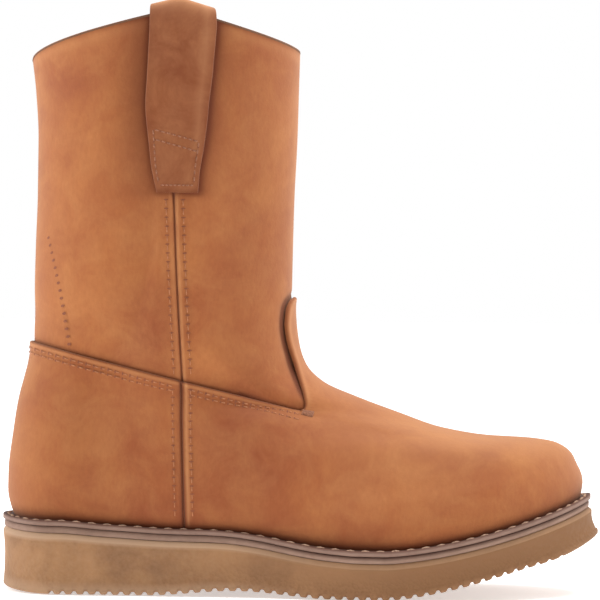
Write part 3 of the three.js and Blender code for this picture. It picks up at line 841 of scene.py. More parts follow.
def plain_leather(name, main, dark, roughness, grain=700.0):
    """Smooth leather with fine grain."""
    material, tree, shader = new_material(name)
    n = Nodes(tree)
    clouds = n.ramp(n.noise(60, 4, 0.6, 0.3), 0.35, 0.68)
    colour = n.blend(n.maths("MULTIPLY", clouds, 0.3), main, dark)
    # Painted shade from the darkening attribute
    colour = n.blend(n.attribute("shade_and_burn"), colour, dark)
    n.link(colour, shader.inputs["Base Color"])
    n.link(n.ramp(clouds, 0, 1, roughness, roughness + 0.12), shader.inputs["Roughness"])
    shader.inputs["Specular IOR Level"].default_value = 0.3
    n.relief([(n.voronoi(grain), 0.3, 0.0002), (n.noise(90, 3), 0.2, 0.0008)], shader)
    return material


def rubber(name, main, pale, dark):
    """Foamed wedge rubber: matt, faintly cloudy, pebbled where the pebble attribute says."""
    material, tree, shader = new_material(name)
    n = Nodes(tree)
    clouds = n.ramp(n.noise(38, 5, 0.62, 0.3), 0.33, 0.7)
    fine = n.ramp(n.noise(420, 3, 0.6), 0.3, 0.7)
    colour = n.blend(clouds, dark, main)
    colour = n.blend(n.maths("MULTIPLY", fine, 0.2), colour, pale)
    # Painted highlights and painted shade from the attributes
    colour = n.blend(n.attribute("pale"), colour, pale)
    colour = n.blend(n.attribute("shade_and_burn"), colour, dark)
    n.link(colour, shader.inputs["Base Color"])
    n.link(n.ramp(fine, 0, 1, 0.6, 0.78), shader.inputs["Roughness"])
    shader.inputs["Specular IOR Level"].default_value = 0.3
    pebbles = n.maths("MULTIPLY", n.voronoi(560), n.attribute("pebble"))
    n.relief([(pebbles, 0.5, 0.0008), (n.noise(500, 3), 0.25, 0.0002)], shader)
    return material


def thread(name, main, dark, ply=1500.0):
    material, tree, shader = new_material(name)
    n = Nodes(tree)
    twist = n.ramp(n.noise(ply, 2, 0.5), 0.35, 0.65)
    n.link(n.blend(twist, dark, main), shader.inputs["Base Color"])
    shader.inputs["Roughness"].default_value = 0.75
    n.relief([(twist, 0.5, 0.0003)], shader)
    return material


def floor_finish():
    material, tree, shader = new_material("studio_floor")
    n = Nodes(tree)
    n.link(n.blend(n.noise(3, 2), (0.88, 0.88, 0.88, 1), (0.9, 0.9, 0.9, 1)), shader.inputs["Base Color"])
    shader.inputs["Roughness"].default_value = 0.9
    shader.inputs["Emission Color"].default_value = (1, 1, 1, 1)
    shader.inputs["Emission Strength"].default_value = 0.5
    return material


TAN = linear(163, 96, 50)
DEEP = linear(140, 72, 38)
# Pale tan for lighter patches and for painted highlights
PALE = linear(194, 136, 88)
# Dark brown for painted shade, darker cut edges and the nap
SHADE_AND_NAP = linear(100, 44, 18)

leather = nubuck("nubuck", TAN, DEEP, PALE, SHADE_AND_NAP)
strap_leather = nubuck("strap_nubuck", linear(130, 70, 35), linear(116, 56, 27), linear(188, 132, 92), SHADE_AND_NAP)
lining_leather = plain_leather("lining", linear(196, 160, 122), linear(160, 122, 88), 0.7)
binding = plain_leather("topline_edge", linear(104, 76, 56), linear(78, 54, 40), 0.75)
welt_leather = plain_leather("welt_leather", linear(140, 112, 98), linear(86, 54, 42), 0.6)
midsole_rubber = plain_leather("midsole", linear(152, 122, 105), linear(80, 53, 43), 0.7)
wedge_rubber = rubber("wedge_rubber", linear(162, 118, 78), linear(180, 148, 120), linear(124, 86, 54))
bedding = plain_leather("footbed", linear(190, 160, 128), linear(168, 136, 104), 0.85)
leather_thread = thread("leather_thread", linear(180, 118, 78), linear(150, 90, 54))
tack_thread = thread("tack_thread", linear(158, 104, 74), linear(126, 78, 52))
welt_thread = thread("welt_thread", linear(196, 160, 132), linear(146, 114, 92), 900.0)
# Dark brown domes that paint the shade in stitch holes
hole_dark = thread("stitch_holes", linear(138, 76, 43), linear(118, 62, 35))

# Creases and soft hollows of the leather, seen from the side: depth and width in millimetres,
# side -1 outer, 1 inner or 0 both, and the points they run through. A depth below 0 is a swelling.
CREASES = [
    (0.8, 7.0, 0, [(143, 112), (134, 107), (122, 105), (108, 108)]),
    (0.6, 8.0, 0, [(20, 122), (34, 116), (52, 112)]),
    (0.5, 9.0, 0, [(17, 140), (30, 136), (46, 138)]),
    (0.6, 8.0, -1, [(216, 70), (210, 60), (208, 50)]),
    (0.6, 8.0, 1, [(212, 70), (205, 60), (201, 50)]),
    (0.4, 7.0, -1, [(198, 74), (192, 64)]),
    (0.4, 7.0, 1, [(196, 76), (188, 66)]),
    (0.7, 12.0, -1, [(70, 262), (68, 235), (66, 212)]),
    (0.6, 12.0, -1, [(112, 262), (114, 238), (114, 216)]),
    (0.5, 14.0, 1, [(66, 258), (64, 230), (62, 205)]),
    (0.8, 14.0, 0, [(120, 190), (112, 168), (108, 140)]),
    (0.5, 12.0, -1, [(52, 70), (70, 62), (88, 66)]),
    (-1.3, 9.0, 0, [(284, 76), (292, 69), (297, 60)]),
]


def crease_depth(points, side):
    """How far the surface sinks at its creases."""
    depth = np.zeros(len(points))
    for amount, width, on_side, line in CREASES:
        distance = np.abs(edge_distance(points[:, [0, 2]], np.array(line, float)))
        here = 1.0 if on_side == 0 else side == on_side
        depth += amount * here * bump(distance, 0, width)
    return depth


def side_of(turn):
    """-1 on the outer side and 1 on the inner side."""
    return np.where(np.mod(turn, 2) <= 1, -1, 1)


def soft_marks(shade_and_burn, pale):
    """Attributes that darken and lighten the leather, each from 0 to 1: mostly painted shade and painted
    highlights.
    """
    return {"shade_and_burn": np.clip(shade_and_burn, 0, 1), "pale": np.clip(pale, 0, 1)}


# Distances of points from edges and seams, seen from the side

def over_edge(points):
    return edge_distance(points[:, [0, 2]], VAMP_EDGE)


def over_seam(points):
    return points[:, 2] - seam_height(points[:, 0])


def behind_vamp(points):
    return side_seam(points[:, 2]) + SEAM_GAP / 2 - points[:, 0]


def ahead_of_counter(points):
    return points[:, 0] - side_seam(points[:, 2]) + SEAM_GAP / 2


def beside_shaft_seam(points):
    return points[:, 0] - shaft_seam(points[:, 2])


# Shaft

SHAFT_STARTS = 8.6  # level of its lowest row
UNDERLAP = 8.0  # how far it runs on under vamp and counter
TOP_FADE = 3.0  # band under the topline where its relief runs out
SEAM_CUT = 0.55  # depth of the side seam
SEAM_RIDGE = 0.55  # height of the ridge ahead of it
SEAM_SWELL = 0.18  # and of the swelling behind it
CREST_HEIGHT = float(surface(TOP_LEVEL, CREST_AT)[0, 2])
TAB_END = HEEL_SEAT + STRAP_TAB_RISE  # height of a strap's lower end
STRAP_LEG = CREST_HEIGHT - STRAP_SHOULDER - TAB_END  # and how far its leg rises from there


def strap_row(share):
    """Half width, slip and lift of a strap at a share of its leg, in millimetres."""
    sizes = (STRAP_WIDTH / 2, STRAP_SLIP, STRAP_LIFT)
    return [size * curve(share, STRAP_ROWS[:, 0], STRAP_ROWS[:, k + 1]) for k, size in enumerate(sizes)]


def seam_relief(u):
    """Height of the shaft's side seam, u millimetres ahead of it."""
    ridge = SEAM_RIDGE * smooth(u, 0.3, 0.8) * (1 - smooth(u, 1.6, 3.4))
    behind = SEAM_SWELL * smooth(u, -2.6, -0.8) * (1 - smooth(u, -0.8, -0.3))
    return ridge + behind - SEAM_CUT * (smooth(u, -0.5, -0.1) - smooth(u, 0.15, 0.55))


def strap_shadow(points):
    """Painted shadow of the pull strap on the shaft round it, from 0 to 1."""
    x, z = points[:, 0], points[:, 2]
    half, slip, _ = strap_row(np.clip((z - TAB_END) / STRAP_LEG, 0, 1))
    middle = STRAP_CENTRE + slip
    behind = np.maximum(middle - half - x, 0)
    ahead = np.maximum(x - middle - half, 0)
    below = np.maximum(TAB_END - z, 0)
    soft = np.exp(-((behind / 13.0) ** 2) - (ahead / 9.0) ** 2 - (below / 3.0) ** 2)
    close = np.exp(-((behind / 2.0) ** 2) - (ahead / 3.2) ** 2 - (below / 1.4) ** 2)
    soft_share = mix(0.38, 0.54, smooth(z, 205, 240))
    close_share = mix(0.3, 0.6, smooth(x - middle, -4, 4))
    return soft * soft_share + close_share * close


def over_shaft_end(points):
    """Distance below the edges that cover the shaft's lower end."""
    behind_seam = np.where(points[:, 0] < 90, over_seam(points), -9)
    return -np.maximum(over_edge(points), behind_seam)


def make_shaft():
    sheet = Sheet(form_levels(SHAFT_STARTS, TOP_LEVEL), np.linspace(0, 2, 2 * SIDE_STEPS + 1))
    sheet.keep(over_shaft_end, UNDERLAP)
    sheet.cut(over_edge, [0.4, 1.2, 2.6])
    sheet.cut(over_seam, [0.5])
    sheet.cut(beside_shaft_seam, [-2.6, -0.8, -0.3, 0.02, 0.35, 0.8, 1.6, 3.4])
    level, turn = sheet.params.T
    points = sheet.points()
    x, z = points[:, 0], points[:, 2]
    u = beside_shaft_seam(points)
    on_seam = smooth(z, 104, 108)
    gap = over_edge(points)
    beside_tongue = smooth(z, 96, 104) * (x > 120)
    top_gap = (TOP_LEVEL - level) * (RINGS["back_z"][-1] - RINGS["back_z"][-2])
    relief = seam_relief(u) * on_seam - crease_depth(points, side_of(turn))
    relief -= 0.5 * beside_tongue * bump(gap, 1.2, 1.4)
    relief = np.where(top_gap < TOP_FADE, relief * top_gap / TOP_FADE, relief)
    over_foot = np.maximum(np.where(x < 130, over_seam(points), gap), 0)
    # Painted shade in the side seam's groove, in the groove beside the tongue, just over the edges of vamp
    # and counter, and as the pull strap's shadow; darker along the topline; a darker band behind the side
    # seam; painted shade towards the front
    shade_and_burn = 0.85 * bump(u, 0.0, 0.6) * on_seam + 0.7 * beside_tongue * bump(gap, 0.6, 1.3)
    shade_and_burn += 0.6 * bump(over_foot, 0.0, 1.3) + strap_shadow(points)
    shade_and_burn += 0.6 * bump(top_gap, 0.0, 1.3) + 0.14 * bump(u, -17.0, 12.0)
    shade_and_burn += 0.17 * bump(x, 126, 17)
    # Painted highlights on the ridge ahead of the side seam, on the swelling behind it, and on the fold
    # under the topline
    pale = 0.4 * bump(u, 1.35, 0.7) * on_seam + 0.15 * bump(u, -1.8, 1.0) * on_seam
    pale += 0.2 * bump(top_gap, 4.0, 2.5)
    outer = points + outward(level, turn) * relief[:, None]
    mesh_piece("shaft", outer, sheet.faces, leather, ["upper"], "shaft_leather", soft_marks(shade_and_burn, pale))


def make_topline():
    """Rounded cut edge over the top of the shaft and its lining."""
    turns = np.linspace(0, 2, 2 * SIDE_STEPS, endpoint=False)
    top = np.full(len(turns), float(TOP_LEVEL))
    base, normal = surface(top, turns), outward(top, turns)
    past_wall, height, sink, past_half_turn = 0.12, 0.9, 0.75, 0.28
    rings = []
    for angle in np.linspace(-past_half_turn, math.pi + past_half_turn, 11):
        ring = base + normal * ((WALL / 2 + past_wall) * math.cos(angle) - WALL / 2)
        ring[:, 2] += height * math.sin(angle) - sink
        rings.append(ring)
    mesh_piece("topline_edge", *ring_sleeve(rings), binding, ["upper"], "shaft_leather")


def over_seat(points):
    """Keeps points from sinking into the midsole."""
    points[:, 2] = np.maximum(points[:, 2], seat(points[:, 0]) + SEAT_CLEARANCE)
    return points


def make_lining():
    sheet = Sheet(form_levels(0.0, TOP_LEVEL, 5.0), np.linspace(0, 2, 181))
    points = over_seat(skin(*sheet.params.T, -WALL))
    mesh_piece("lining", points, sheet.faces[:, ::-1], lining_leather, ["upper"], "shaft_leather")


# Vamp and counter

def rounded(distance):
    """Share of an overlay's thickness at a distance inside its edge."""
    t = 1 - np.clip(distance / EDGE_ROUND, 0, 1)
    return 0.35 + 0.65 * np.sqrt(1 - t * t)


def overlay_sheet(first, last, above, beside, beside_cuts):
    """Sheet over the foot that ends where two distances reach 0, with rows of points along both."""
    turns = np.linspace(first, last, int((last - first) * SIDE_STEPS) + 1)
    sheet = Sheet(form_levels(0.0, OVERLAY_TOP), turns)
    sheet.keep(above)
    sheet.keep(beside)
    sheet.cut(above, [-0.15, -0.5, -1.0, -1.8])
    sheet.cut(beside, beside_cuts)
    return sheet


def overlay_piece(name, sheet, edge, seam, tongue_lift=0.0, plump=0.0, seam_highlight=0.0):
    """Leather over the form, from its distances inside its upper edge and the side seam. The tongue's edge
    lifts, the top of the foot is plump, and a painted highlight runs along the seam's edge."""
    level, turn = sheet.params.T
    points = sheet.points()
    x, z = points[:, 0], points[:, 2]
    normal = outward(level, turn)
    thick = GAP + OVERLAY * np.minimum(rounded(edge), rounded(seam))
    relief = -crease_depth(points, side_of(turn)) * np.minimum(smooth(edge, 0, 6), smooth(seam, 0, 6))
    relief += plump * smooth(x, 150, 185) * smooth(normal[:, 2], 0.1, 0.7)
    lift = tongue_lift * smooth(z, 100, 118) * bump(edge, 0, 2.2)
    outer = over_seat(points + normal * (thick + relief + lift)[:, None])
    inner = over_seat(points + normal * (GAP + lift)[:, None])
    # Painted shade in the crease over the welt and at the side seam's gap, a darker band above the welt,
    # darker cut edges, and a darker tone towards the heel
    over_welt = np.maximum(z - seat(x) - WELT_THICKNESS, 0)
    low = bump(over_welt, 0, 14.0) * mix(0.5, 1.5, smooth(x, 90, 170))
    shade_and_burn = 0.85 * bump(over_welt, 0, 3.2) + 0.2 * low
    shade_and_burn += 0.85 * bump(seam, 0.0, 1.0) + 0.5 * bump(edge, 0.0, 0.5)
    shade_and_burn += 0.09 * (1 - smooth(x, 120, 165)) + 0.06 * bump(x, 120, 20)
    # Painted highlights on the tongue's lifted edge and along the seam's edge, and on the top of the toe and
    # the instep where they face up
    pale = 0.34 * bump(edge, 1.4, 0.8) + seam_highlight * bump(seam, 2.1, 0.8)
    pale += 0.34 * smooth(x, 180, 245) * smooth(normal[:, 2], 0.25, 0.95)
    pale += 0.2 * bump(x, 190, 38) * smooth(normal[:, 2], -0.05, 0.5)
    solid, faces = thick_solid(outer, inner, sheet.faces)
    mesh_piece(name + "_leather", solid, faces, leather, [name], "foot_leather",
               soft_marks(np.tile(shade_and_burn, 2), np.tile(pale, 2)), sharp=50)


def make_vamp():
    sheet = overlay_sheet(0.2, 1.8, over_edge, behind_vamp, [-0.15, -0.5, -1.0, -2.2])
    points = sheet.points()
    overlay_piece("vamp", sheet, -over_edge(points), -behind_vamp(points), 0.5, 0.7, 0.6)


def make_counter():
    sheet = overlay_sheet(-0.66, 0.66, over_seam, ahead_of_counter, [-0.15, -0.5, -1.0])
    points = sheet.points()
    overlay_piece("counter", sheet, -over_seam(points), -ahead_of_counter(points))


def make_seam_tape():
    """Turned edge of leather that fills the gap between counter and vamp, painted dark all over as the gap's
    shade.
    """
    parts = []
    past_ends, sink = 0.6, 0.9
    low = seat(SIDE_SEAM_LOW) + WELT_THICKNESS - past_ends
    z = np.linspace(low, seam_height(SIDE_SEAM_HIGH) - past_ends, 50)
    half, face = SEAM_GAP / 2, OVERLAY_FACE - sink
    for side in (-1, 1):
        corners = []
        for reach, out in ((-half, face), (half, face), (half, GAP), (-half, GAP)):
            level, turn = place(side_seam(z) + reach, z, side)
            corners.append(skin(level, turn, out))
        # Upwards on the inner side and downwards on the outer one, so that both face outwards
        parts.append(closed_tube(np.stack(corners, axis=1)[::side]))
    points, faces = joined(parts)
    mesh_piece("seam_tape", points, faces, leather, (), None,
               soft_marks(np.full(len(points), 0.9), np.zeros(len(points))), sharp=30)


# Stitches

# Along a thread: share of its length, width as a share of its radius, and share of its sink
THREAD_ROWS = [(0.0, 0.35, 1.0), (0.12, 0.9, 0.35), (0.5, 1.0, 0.0), (0.88, 0.9, 0.35), (1.0, 0.35, 1.0)]
THREAD_FLATNESS = 0.8
SLOT_STEPS = 8
SLOT_RIM = 0.05  # height of a slot's rim, the middle of its dome and its foot
SLOT_TOP = 0.16
SLOT_FOOT = -0.35


def along_line(line, pitch, start=0.0):
    """Points a pitch apart along a line of x and z."""
    steps = np.linalg.norm(np.diff(line, axis=0), axis=1)
    distance = np.concatenate([[0], np.cumsum(steps)])
    at = np.arange(start, distance[-1], pitch)
    return np.column_stack([np.interp(at, distance, line[:, k]) for k in (0, 1)])


def offset_line(line, inset):
    """A line moved to its right hand side."""
    along = unit(np.gradient(line, axis=0))
    return line + np.column_stack([along[:, 1], -along[:, 0]]) * inset


def threads(starts, ends, normals, radius, sink):
    """Small threads from start to end, humped in the middle and sunk at the ends."""
    around = np.linspace(0, 2 * math.pi, 6, endpoint=False)
    parts = []
    for start, end, normal in zip(starts, ends, normals):
        across = unit(np.cross(normal, unit(end - start)))
        section = np.outer(np.cos(around), across) + THREAD_FLATNESS * np.outer(np.sin(around), normal)
        rings = []
        for share, width, drop in THREAD_ROWS:
            centre = mix(start, end, share) + normal * (radius / 2 - drop * sink)
            rings.append(centre + radius * width * section)
        parts.append(closed_tube(rings))
    return joined(parts)


def slots(centres, normals, alongs, radius, stretch=1.0):
    """Small dark domes lying on the surface: the painted shade in the holes of stitches."""
    around = np.linspace(0, 2 * math.pi, SLOT_STEPS, endpoint=False)
    i = np.arange(SLOT_STEPS)
    j = (i + 1) % SLOT_STEPS
    top, foot = np.full(SLOT_STEPS, SLOT_STEPS), np.full(SLOT_STEPS, SLOT_STEPS + 1)
    faces = np.vstack([np.column_stack([i, j, top]), np.column_stack([j, i, foot])])
    parts = []
    for centre, normal, along in zip(centres, normals, alongs):
        across = unit(np.cross(normal, along))
        rim = np.outer(np.cos(around), across) + stretch * np.outer(np.sin(around), along)
        rim = centre + radius * rim + normal * SLOT_RIM
        parts.append((np.vstack([rim, centre + normal * SLOT_TOP, centre + normal * SLOT_FOOT]), faces))
    return joined(parts)


def on_leather(x, z, side, out):
    """Points of the form's side at x and z, lifted out of it, and the directions out."""
    level, turn = place(x, z, side)
    normal = outward(level, turn)
    return surface(level, turn) + normal * out, normal


def stitch_row(line, out, pitch, radius, slot_length, slot_width, start=0.0):
    """Threads and slots, as two parts a side, along a line of x and z on both sides of the boot."""
    marks = along_line(line, pitch, start)
    ahead = marks + unit(np.gradient(marks, axis=0)) * (pitch - 1.6 * slot_width)
    for side in (-1, 1):
        here, normal = on_leather(*marks.T, side, out)
        there, _ = on_leather(*ahead.T, side, out)
        along = unit(there - here)
        if radius:
            thread_starts = here + along * slot_width * 0.5
            STITCHES["threads"].append(threads(thread_starts, there, normal, radius, radius * 1.1))
        STITCHES["slots"].append(slots(here, normal, along, slot_length / 2, slot_width / slot_length))


STITCHES = {"threads": [], "slots": []}


def make_bar_tacks():
    """Short threads side by side that hold the corner of the throat."""
    parts = []
    steps = (np.arange(8) - 3.5) * 0.72
    half = 2.1
    for side in (-1, 1):
        ends = []
        for reach in (-half, half):
            x = THROAT_X + 2.2 + steps + 0.25 * reach
            z = TONGUE[0, 1] - 1.9 - 0.25 * steps + reach
            end, normal = on_leather(x, z, side, OVERLAY_FACE)
            ends.append(end)
        parts.append(threads(*ends, normal, 0.4, 0.35))
    mesh_piece("throat_tacks", *joined(parts), tack_thread, sharp=60)


def make_stitches():
    z = np.linspace(110, 197, 60)
    shaft_line = np.column_stack([shaft_seam(z), z])[::-1]
    z = np.linspace(42, 103, 40)
    foot_line = np.column_stack([side_seam(z), z])[::-1]
    for line, out, pitch, ahead, behind in (
        (shaft_line, 0.1, 4.4, 4.5, 3.9),
        (foot_line, OVERLAY_FACE, 4.0, 4.6, 4.2),
    ):
        stitch_row(line + [ahead, 0], out, pitch, 0.3, 2.5, 0.8)
        stitch_row(line - [behind, 0], out, pitch, 0.3, 2.3, 0.8)
    for x in (np.linspace(15.5, 88, 50), np.linspace(97, THROAT_X - 3, 40)):
        seam = np.column_stack([x, seam_height(x)])
        stitch_row(offset_line(seam, 3.3), OVERLAY_FACE, 3.8, 0.34, 2.0, 0.9)
        stitch_row(offset_line(seam, 5.7), OVERLAY_FACE, 3.8, 0.34, 1.5, 0.8, start=0.4)
    stitch_row(STAY_ROW, 0.05, 3.9, 0.0, 2.6, 1.5)
    mesh_piece("upper_stitches", *joined(STITCHES["threads"]), leather_thread, sharp=60)
    mesh_piece("upper_stitch_holes", *joined(STITCHES["slots"]), hole_dark, sharp=60)
    make_bar_tacks()


# Pull straps

STRAP_ROUND = 0.75  # rounding of a strap's outer edges
STRAP_BACK_ROUND = 0.4  # and of its inner edges
FOLD_STEPS = 22

# Stitches of a tab: each route's two ends, as place across and share of the leg
TAB_ROUTES = [
    [(-0.80, 0.06), (-0.80, 0.38)],
    [(0.78, 0.06), (0.78, 0.31)],
    [(-0.76, 0.045), (0.76, 0.045)],
    [(-0.76, 0.32), (0.76, 0.25)],
    [(-0.76, 0.38), (0.76, 0.31)],
]


def topline_height(x, side):
    top = np.full(np.shape(x), float(TOP_LEVEL))
    return surface(top, turn_at(ring_at(top), x, side))[:, 2]


def strap_leg(across, depth, inside, side, shares):
    """Points up one leg of a strap, at shares of the way from the tab's end to the fold."""
    half, slip, lift = strap_row(shares)
    level, turn = place(STRAP_CENTRE + slip + across * half, TAB_END + STRAP_LEG * shares, side)
    off = GAP + lift + depth
    return skin(level, turn, -WALL - off if inside else off)


def strap_rings(across, depth, side, shares):
    """Rings of the strap's section from the tab over the topline to the end inside."""
    grid_shares, grid_across = np.meshgrid(shares, across, indexing="ij")
    grid_depth = np.broadcast_to(depth, grid_shares.shape)
    places = grid_across.ravel(), grid_depth.ravel()
    outside, inside = (
        strap_leg(*places, leg, side, grid_shares.ravel()).reshape(*grid_shares.shape, 3)
        for leg in (False, True)
    )
    middle = (outside[-1] + inside[-1]) / 2
    rise = topline_height(middle[:, 0], side) + STRAP_LOOP + depth - middle[:, 2]
    angle = math.pi * np.arange(1, FOLD_STEPS) / FOLD_STEPS
    over = np.sign(np.cos(angle)) * np.abs(np.cos(angle)) ** FOLD_SQUARENESS
    fold = middle[None] + over[:, None, None] * (outside[-1] - middle)[None]
    fold[:, :, 2] += rise[None] * np.sin(angle)[:, None] ** FOLD_SQUARENESS
    return np.concatenate([outside, fold, inside[::-1]])


def strap_section():
    """Round a strap's section: places across from -1 to 1, and depths in millimetres."""
    half = STRAP_WIDTH / 2
    flat = np.linspace(-1 + STRAP_ROUND / half, 1 - STRAP_ROUND / half, 9)
    quarter = np.linspace(0, math.pi / 2, 4)
    corner = [
        (1 - STRAP_ROUND * (1 - math.sin(t)) / half, STRAP_THICKNESS - STRAP_ROUND * (1 - math.cos(t)))
        for t in quarter[1:]
    ]
    corner += [
        (1 - STRAP_BACK_ROUND * (1 - math.cos(t)) / half, STRAP_BACK_ROUND * (1 - math.sin(t)))
        for t in quarter
    ]
    face = [(a, STRAP_THICKNESS) for a in flat]
    back = [(a, 0.0) for a in flat[::-1]]
    return np.array(face + corner + back + [(-a, d) for a, d in corner[::-1]]).T


def make_strap(name, side):
    shares = np.concatenate([np.linspace(0, 0.04, 4), np.linspace(0.06, 1, 26)])
    across, depth = strap_section()
    rings = strap_rings(across, depth, side, shares)
    points, faces = closed_tube(rings)
    if side > 0:
        faces = faces[:, ::-1]
    along = np.repeat(np.arange(len(rings)), len(across))
    across, depth = np.tile(across, len(rings)), np.tile(depth, len(rings))
    edge = (1 - np.abs(across)) * STRAP_WIDTH / 2
    outer = depth > STRAP_THICKNESS * 0.6
    # Painted shade on the strap's edges, on its back and at the tab's end; painted highlights on the fold
    # over the topline and along one edge of its face
    shade_and_burn = 0.45 * bump(edge, 0.0, 0.9) + 0.12 * (~outer) + 0.5 * bump(along, 0, 1.5)
    pale = 0.8 * bump(along, len(rings) / 2, 6.0) * outer
    pale += 0.6 * bump(across, 0.8, 0.08) * outer * (along > 8)
    mesh_piece(name + "_leather", points, faces, strap_leather, [name], "strap_leather",
               soft_marks(shade_and_burn, pale), sharp=50)


def make_strap_stitches():
    """Box of stitches that holds each tab, outside the shaft."""
    thread_parts, slot_parts = [], []
    pitch, length = 3.0, 2.1
    for side in (-1, 1):
        for (a0, r0), (a1, r1) in TAB_ROUTES:
            size = math.hypot((a1 - a0) * STRAP_WIDTH / 2, (r1 - r0) * STRAP_LEG)
            count = max(int(size / pitch), 1)
            first = (np.arange(count) + 0.25) / count
            last = first + length / size
            starts, under, ends = (
                strap_leg(mix(a0, a1, at), depth, False, side, mix(r0, r1, at))
                for at, depth in ((first, STRAP_THICKNESS), (first, 0.0), (last, STRAP_THICKNESS))
            )
            normals, along = unit(starts - under), unit(ends - starts)
            thread_parts.append(threads(starts, ends, normals, 0.42, 0.42))
            slot_parts.append(slots(starts - along * 0.3, normals, along, 0.5, 0.8))
    mesh_piece("strap_stitches", *joined(thread_parts), tack_thread, sharp=60)
    mesh_piece("strap_stitch_holes", *joined(slot_parts), hole_dark, sharp=60)


# Sole pieces

def even_turns(count):
    """Turns round the sole, even in length, and its length round."""
    fine = np.linspace(0, 2, 4001)
    steps = np.linalg.norm(np.diff(outline_point(fine), axis=0), axis=1)
    distance = np.concatenate([[0], np.cumsum(steps)])
    return np.interp(np.linspace(0, distance[-1], count, endpoint=False), distance, fine), distance[-1]


def make_welt():
    turns, _ = even_turns(560)
    top = WELT_THICKNESS
    # Round its section: inset, height and how dark it is; the dark over its top and in its stitch channel is
    # painted shade under the upper
    profile = [(0.0, 0.15, 0.3), (0.0, 0.7, 0.05), (0.0, 1.3, 0.05), (0.0, top - WELT_ROUND, 0.35)]
    for angle, dark in zip(np.linspace(0.3, math.pi / 2, 5), (0.6, 0.75, 0.85, 0.9, 0.95)):
        inset = WELT_ROUND * (1 - math.cos(angle))
        profile.append((inset, top - WELT_ROUND * (1 - math.sin(angle)), dark))
    stitch_channel = [(1.7, top), (2.2, top - 0.25), (3.3, top - 0.3), (3.8, top)]
    inner_edge = [(6.0, top), (9.0, top), (9.0, 0.0), (0.5, 0.0)]
    profile += [(inset, height, 0.95) for inset, height in stitch_channel + inner_edge]
    points, faces = ring_sleeve([sole_ring(turns, inset, seat, 0.0, lift) for inset, lift, _ in profile])
    shade_and_burn = np.repeat([dark for _, _, dark in profile], len(turns))
    mesh_piece("welt_strip", points, faces, welt_leather, ["welt"], "welt_leather", {"shade_and_burn": shade_and_burn})


def make_welt_stitches():
    """Thick thread along the top of the welt."""
    fine, length = even_turns(2400)
    pitch, stitch, inset, sink, past_end = 7.6, 4.9, 2.75, 0.3, 60
    count = int(length / pitch)
    starts_at = np.arange(count) * len(fine) / count
    steps = np.arange(len(fine) + past_end)
    turns = np.concatenate([fine, fine[:past_end] + 2])
    starts, ends = (
        sole_ring(np.interp(at, steps, turns), inset, seat, 0.0, WELT_THICKNESS - sink)
        for at in (starts_at, starts_at + stitch / length * len(fine))
    )
    up = np.tile([0.0, 0.0, 1.0], (count, 1))
    mesh_piece("welt_stitches", *threads(starts, ends, up, 0.72, 0.9), welt_thread, sharp=60)
    along = unit(ends - starts)
    mesh_piece("welt_stitch_holes", *slots(starts - along, up, along, 0.7), hole_dark, sharp=60)


def make_midsole():
    turns, _ = even_turns(360)
    # Up its side: inset, height, and how dark it is at the heel and at the ball; the dark top rows are
    # painted shade under the welt
    profile = [
        (MIDSOLE_INSET, 0.0, 0.1, 0.05),
        (MIDSOLE_INSET - 0.1, 1.2, 0.1, 0.0),
        (MIDSOLE_INSET, 2.2, 0.2, 0.45),
        (MIDSOLE_INSET + 0.5, MIDSOLE_THICKNESS, 0.5, 1.0),
    ]
    points, faces = lidded([sole_ring(turns, row[0], rubber_top, 0.0, GAP + row[1]) for row in profile])
    at_heel, at_ball = (np.repeat([row[k] for row in profile], len(turns)) for k in (2, 3))
    shade_and_burn = mix(at_heel, at_ball, smooth(points[:, 0], 90, 170))
    mesh_piece("midsole_layer", points, faces, midsole_rubber, ["midsole"], "midsole_rubber", {"shade_and_burn": shade_and_burn})


def make_insole():
    turns = np.linspace(0, 2, 160, endpoint=False)
    rings = []
    # Up its side: height, level of the form, and inset
    profile = [(0.2, 0.0, 0.0), (1.5, 0.22, 0.0), (3.2, 0.5, 0.0), (INSOLE_THICKNESS, 0.6, 1.0)]
    for height, level, inset in profile:
        ring = skin(np.full(len(turns), level), turns, -WALL - GAP - inset)
        ring[:, 2] = seat(ring[:, 0]) + height
        rings.append(ring)
    mesh_piece("footbed_cover", *lidded(rings), bedding, ["insole"], "footbed")


# Half a groove of the tread: distance from its middle, and depth as a share of TREAD_DEPTH
GROOVE_ROWS = np.array([[0.6, 1.0], [0.85, 0.88], [1.45, 0.22], [1.75, 0.07], [2.2, 0.01], [2.9, 0.0]])
# Rows of the outsole just above the floor: inset, share of the toe's flare, and height
LOW_ROWS = [
    (EDGE_INSET + 0.35, 1.0, 0.0),
    (1.35, 1.0, 0.22),
    (0.75, 1.0, 0.7),
    (0.46, 0.97, 1.4),
    (0.6, 0.93, 2.6),
]
# Rows of its side: share of WALL_HOLLOW, share of the flare, and share of the way up to the bevel
WALL_ROWS = [
    (0.80, 0.8, 0.25),
    (0.95, 0.66, 0.42),
    (1.0, 0.5, 0.60),
    (0.75, 0.34, 0.80),
    (0.35, 0.24, 0.94),
    (0.15, 0.2, 1.0),
]
GROOVE_SHOWS = 4.2  # height up the side where the grooves end
TREAD_COLUMNS = 10


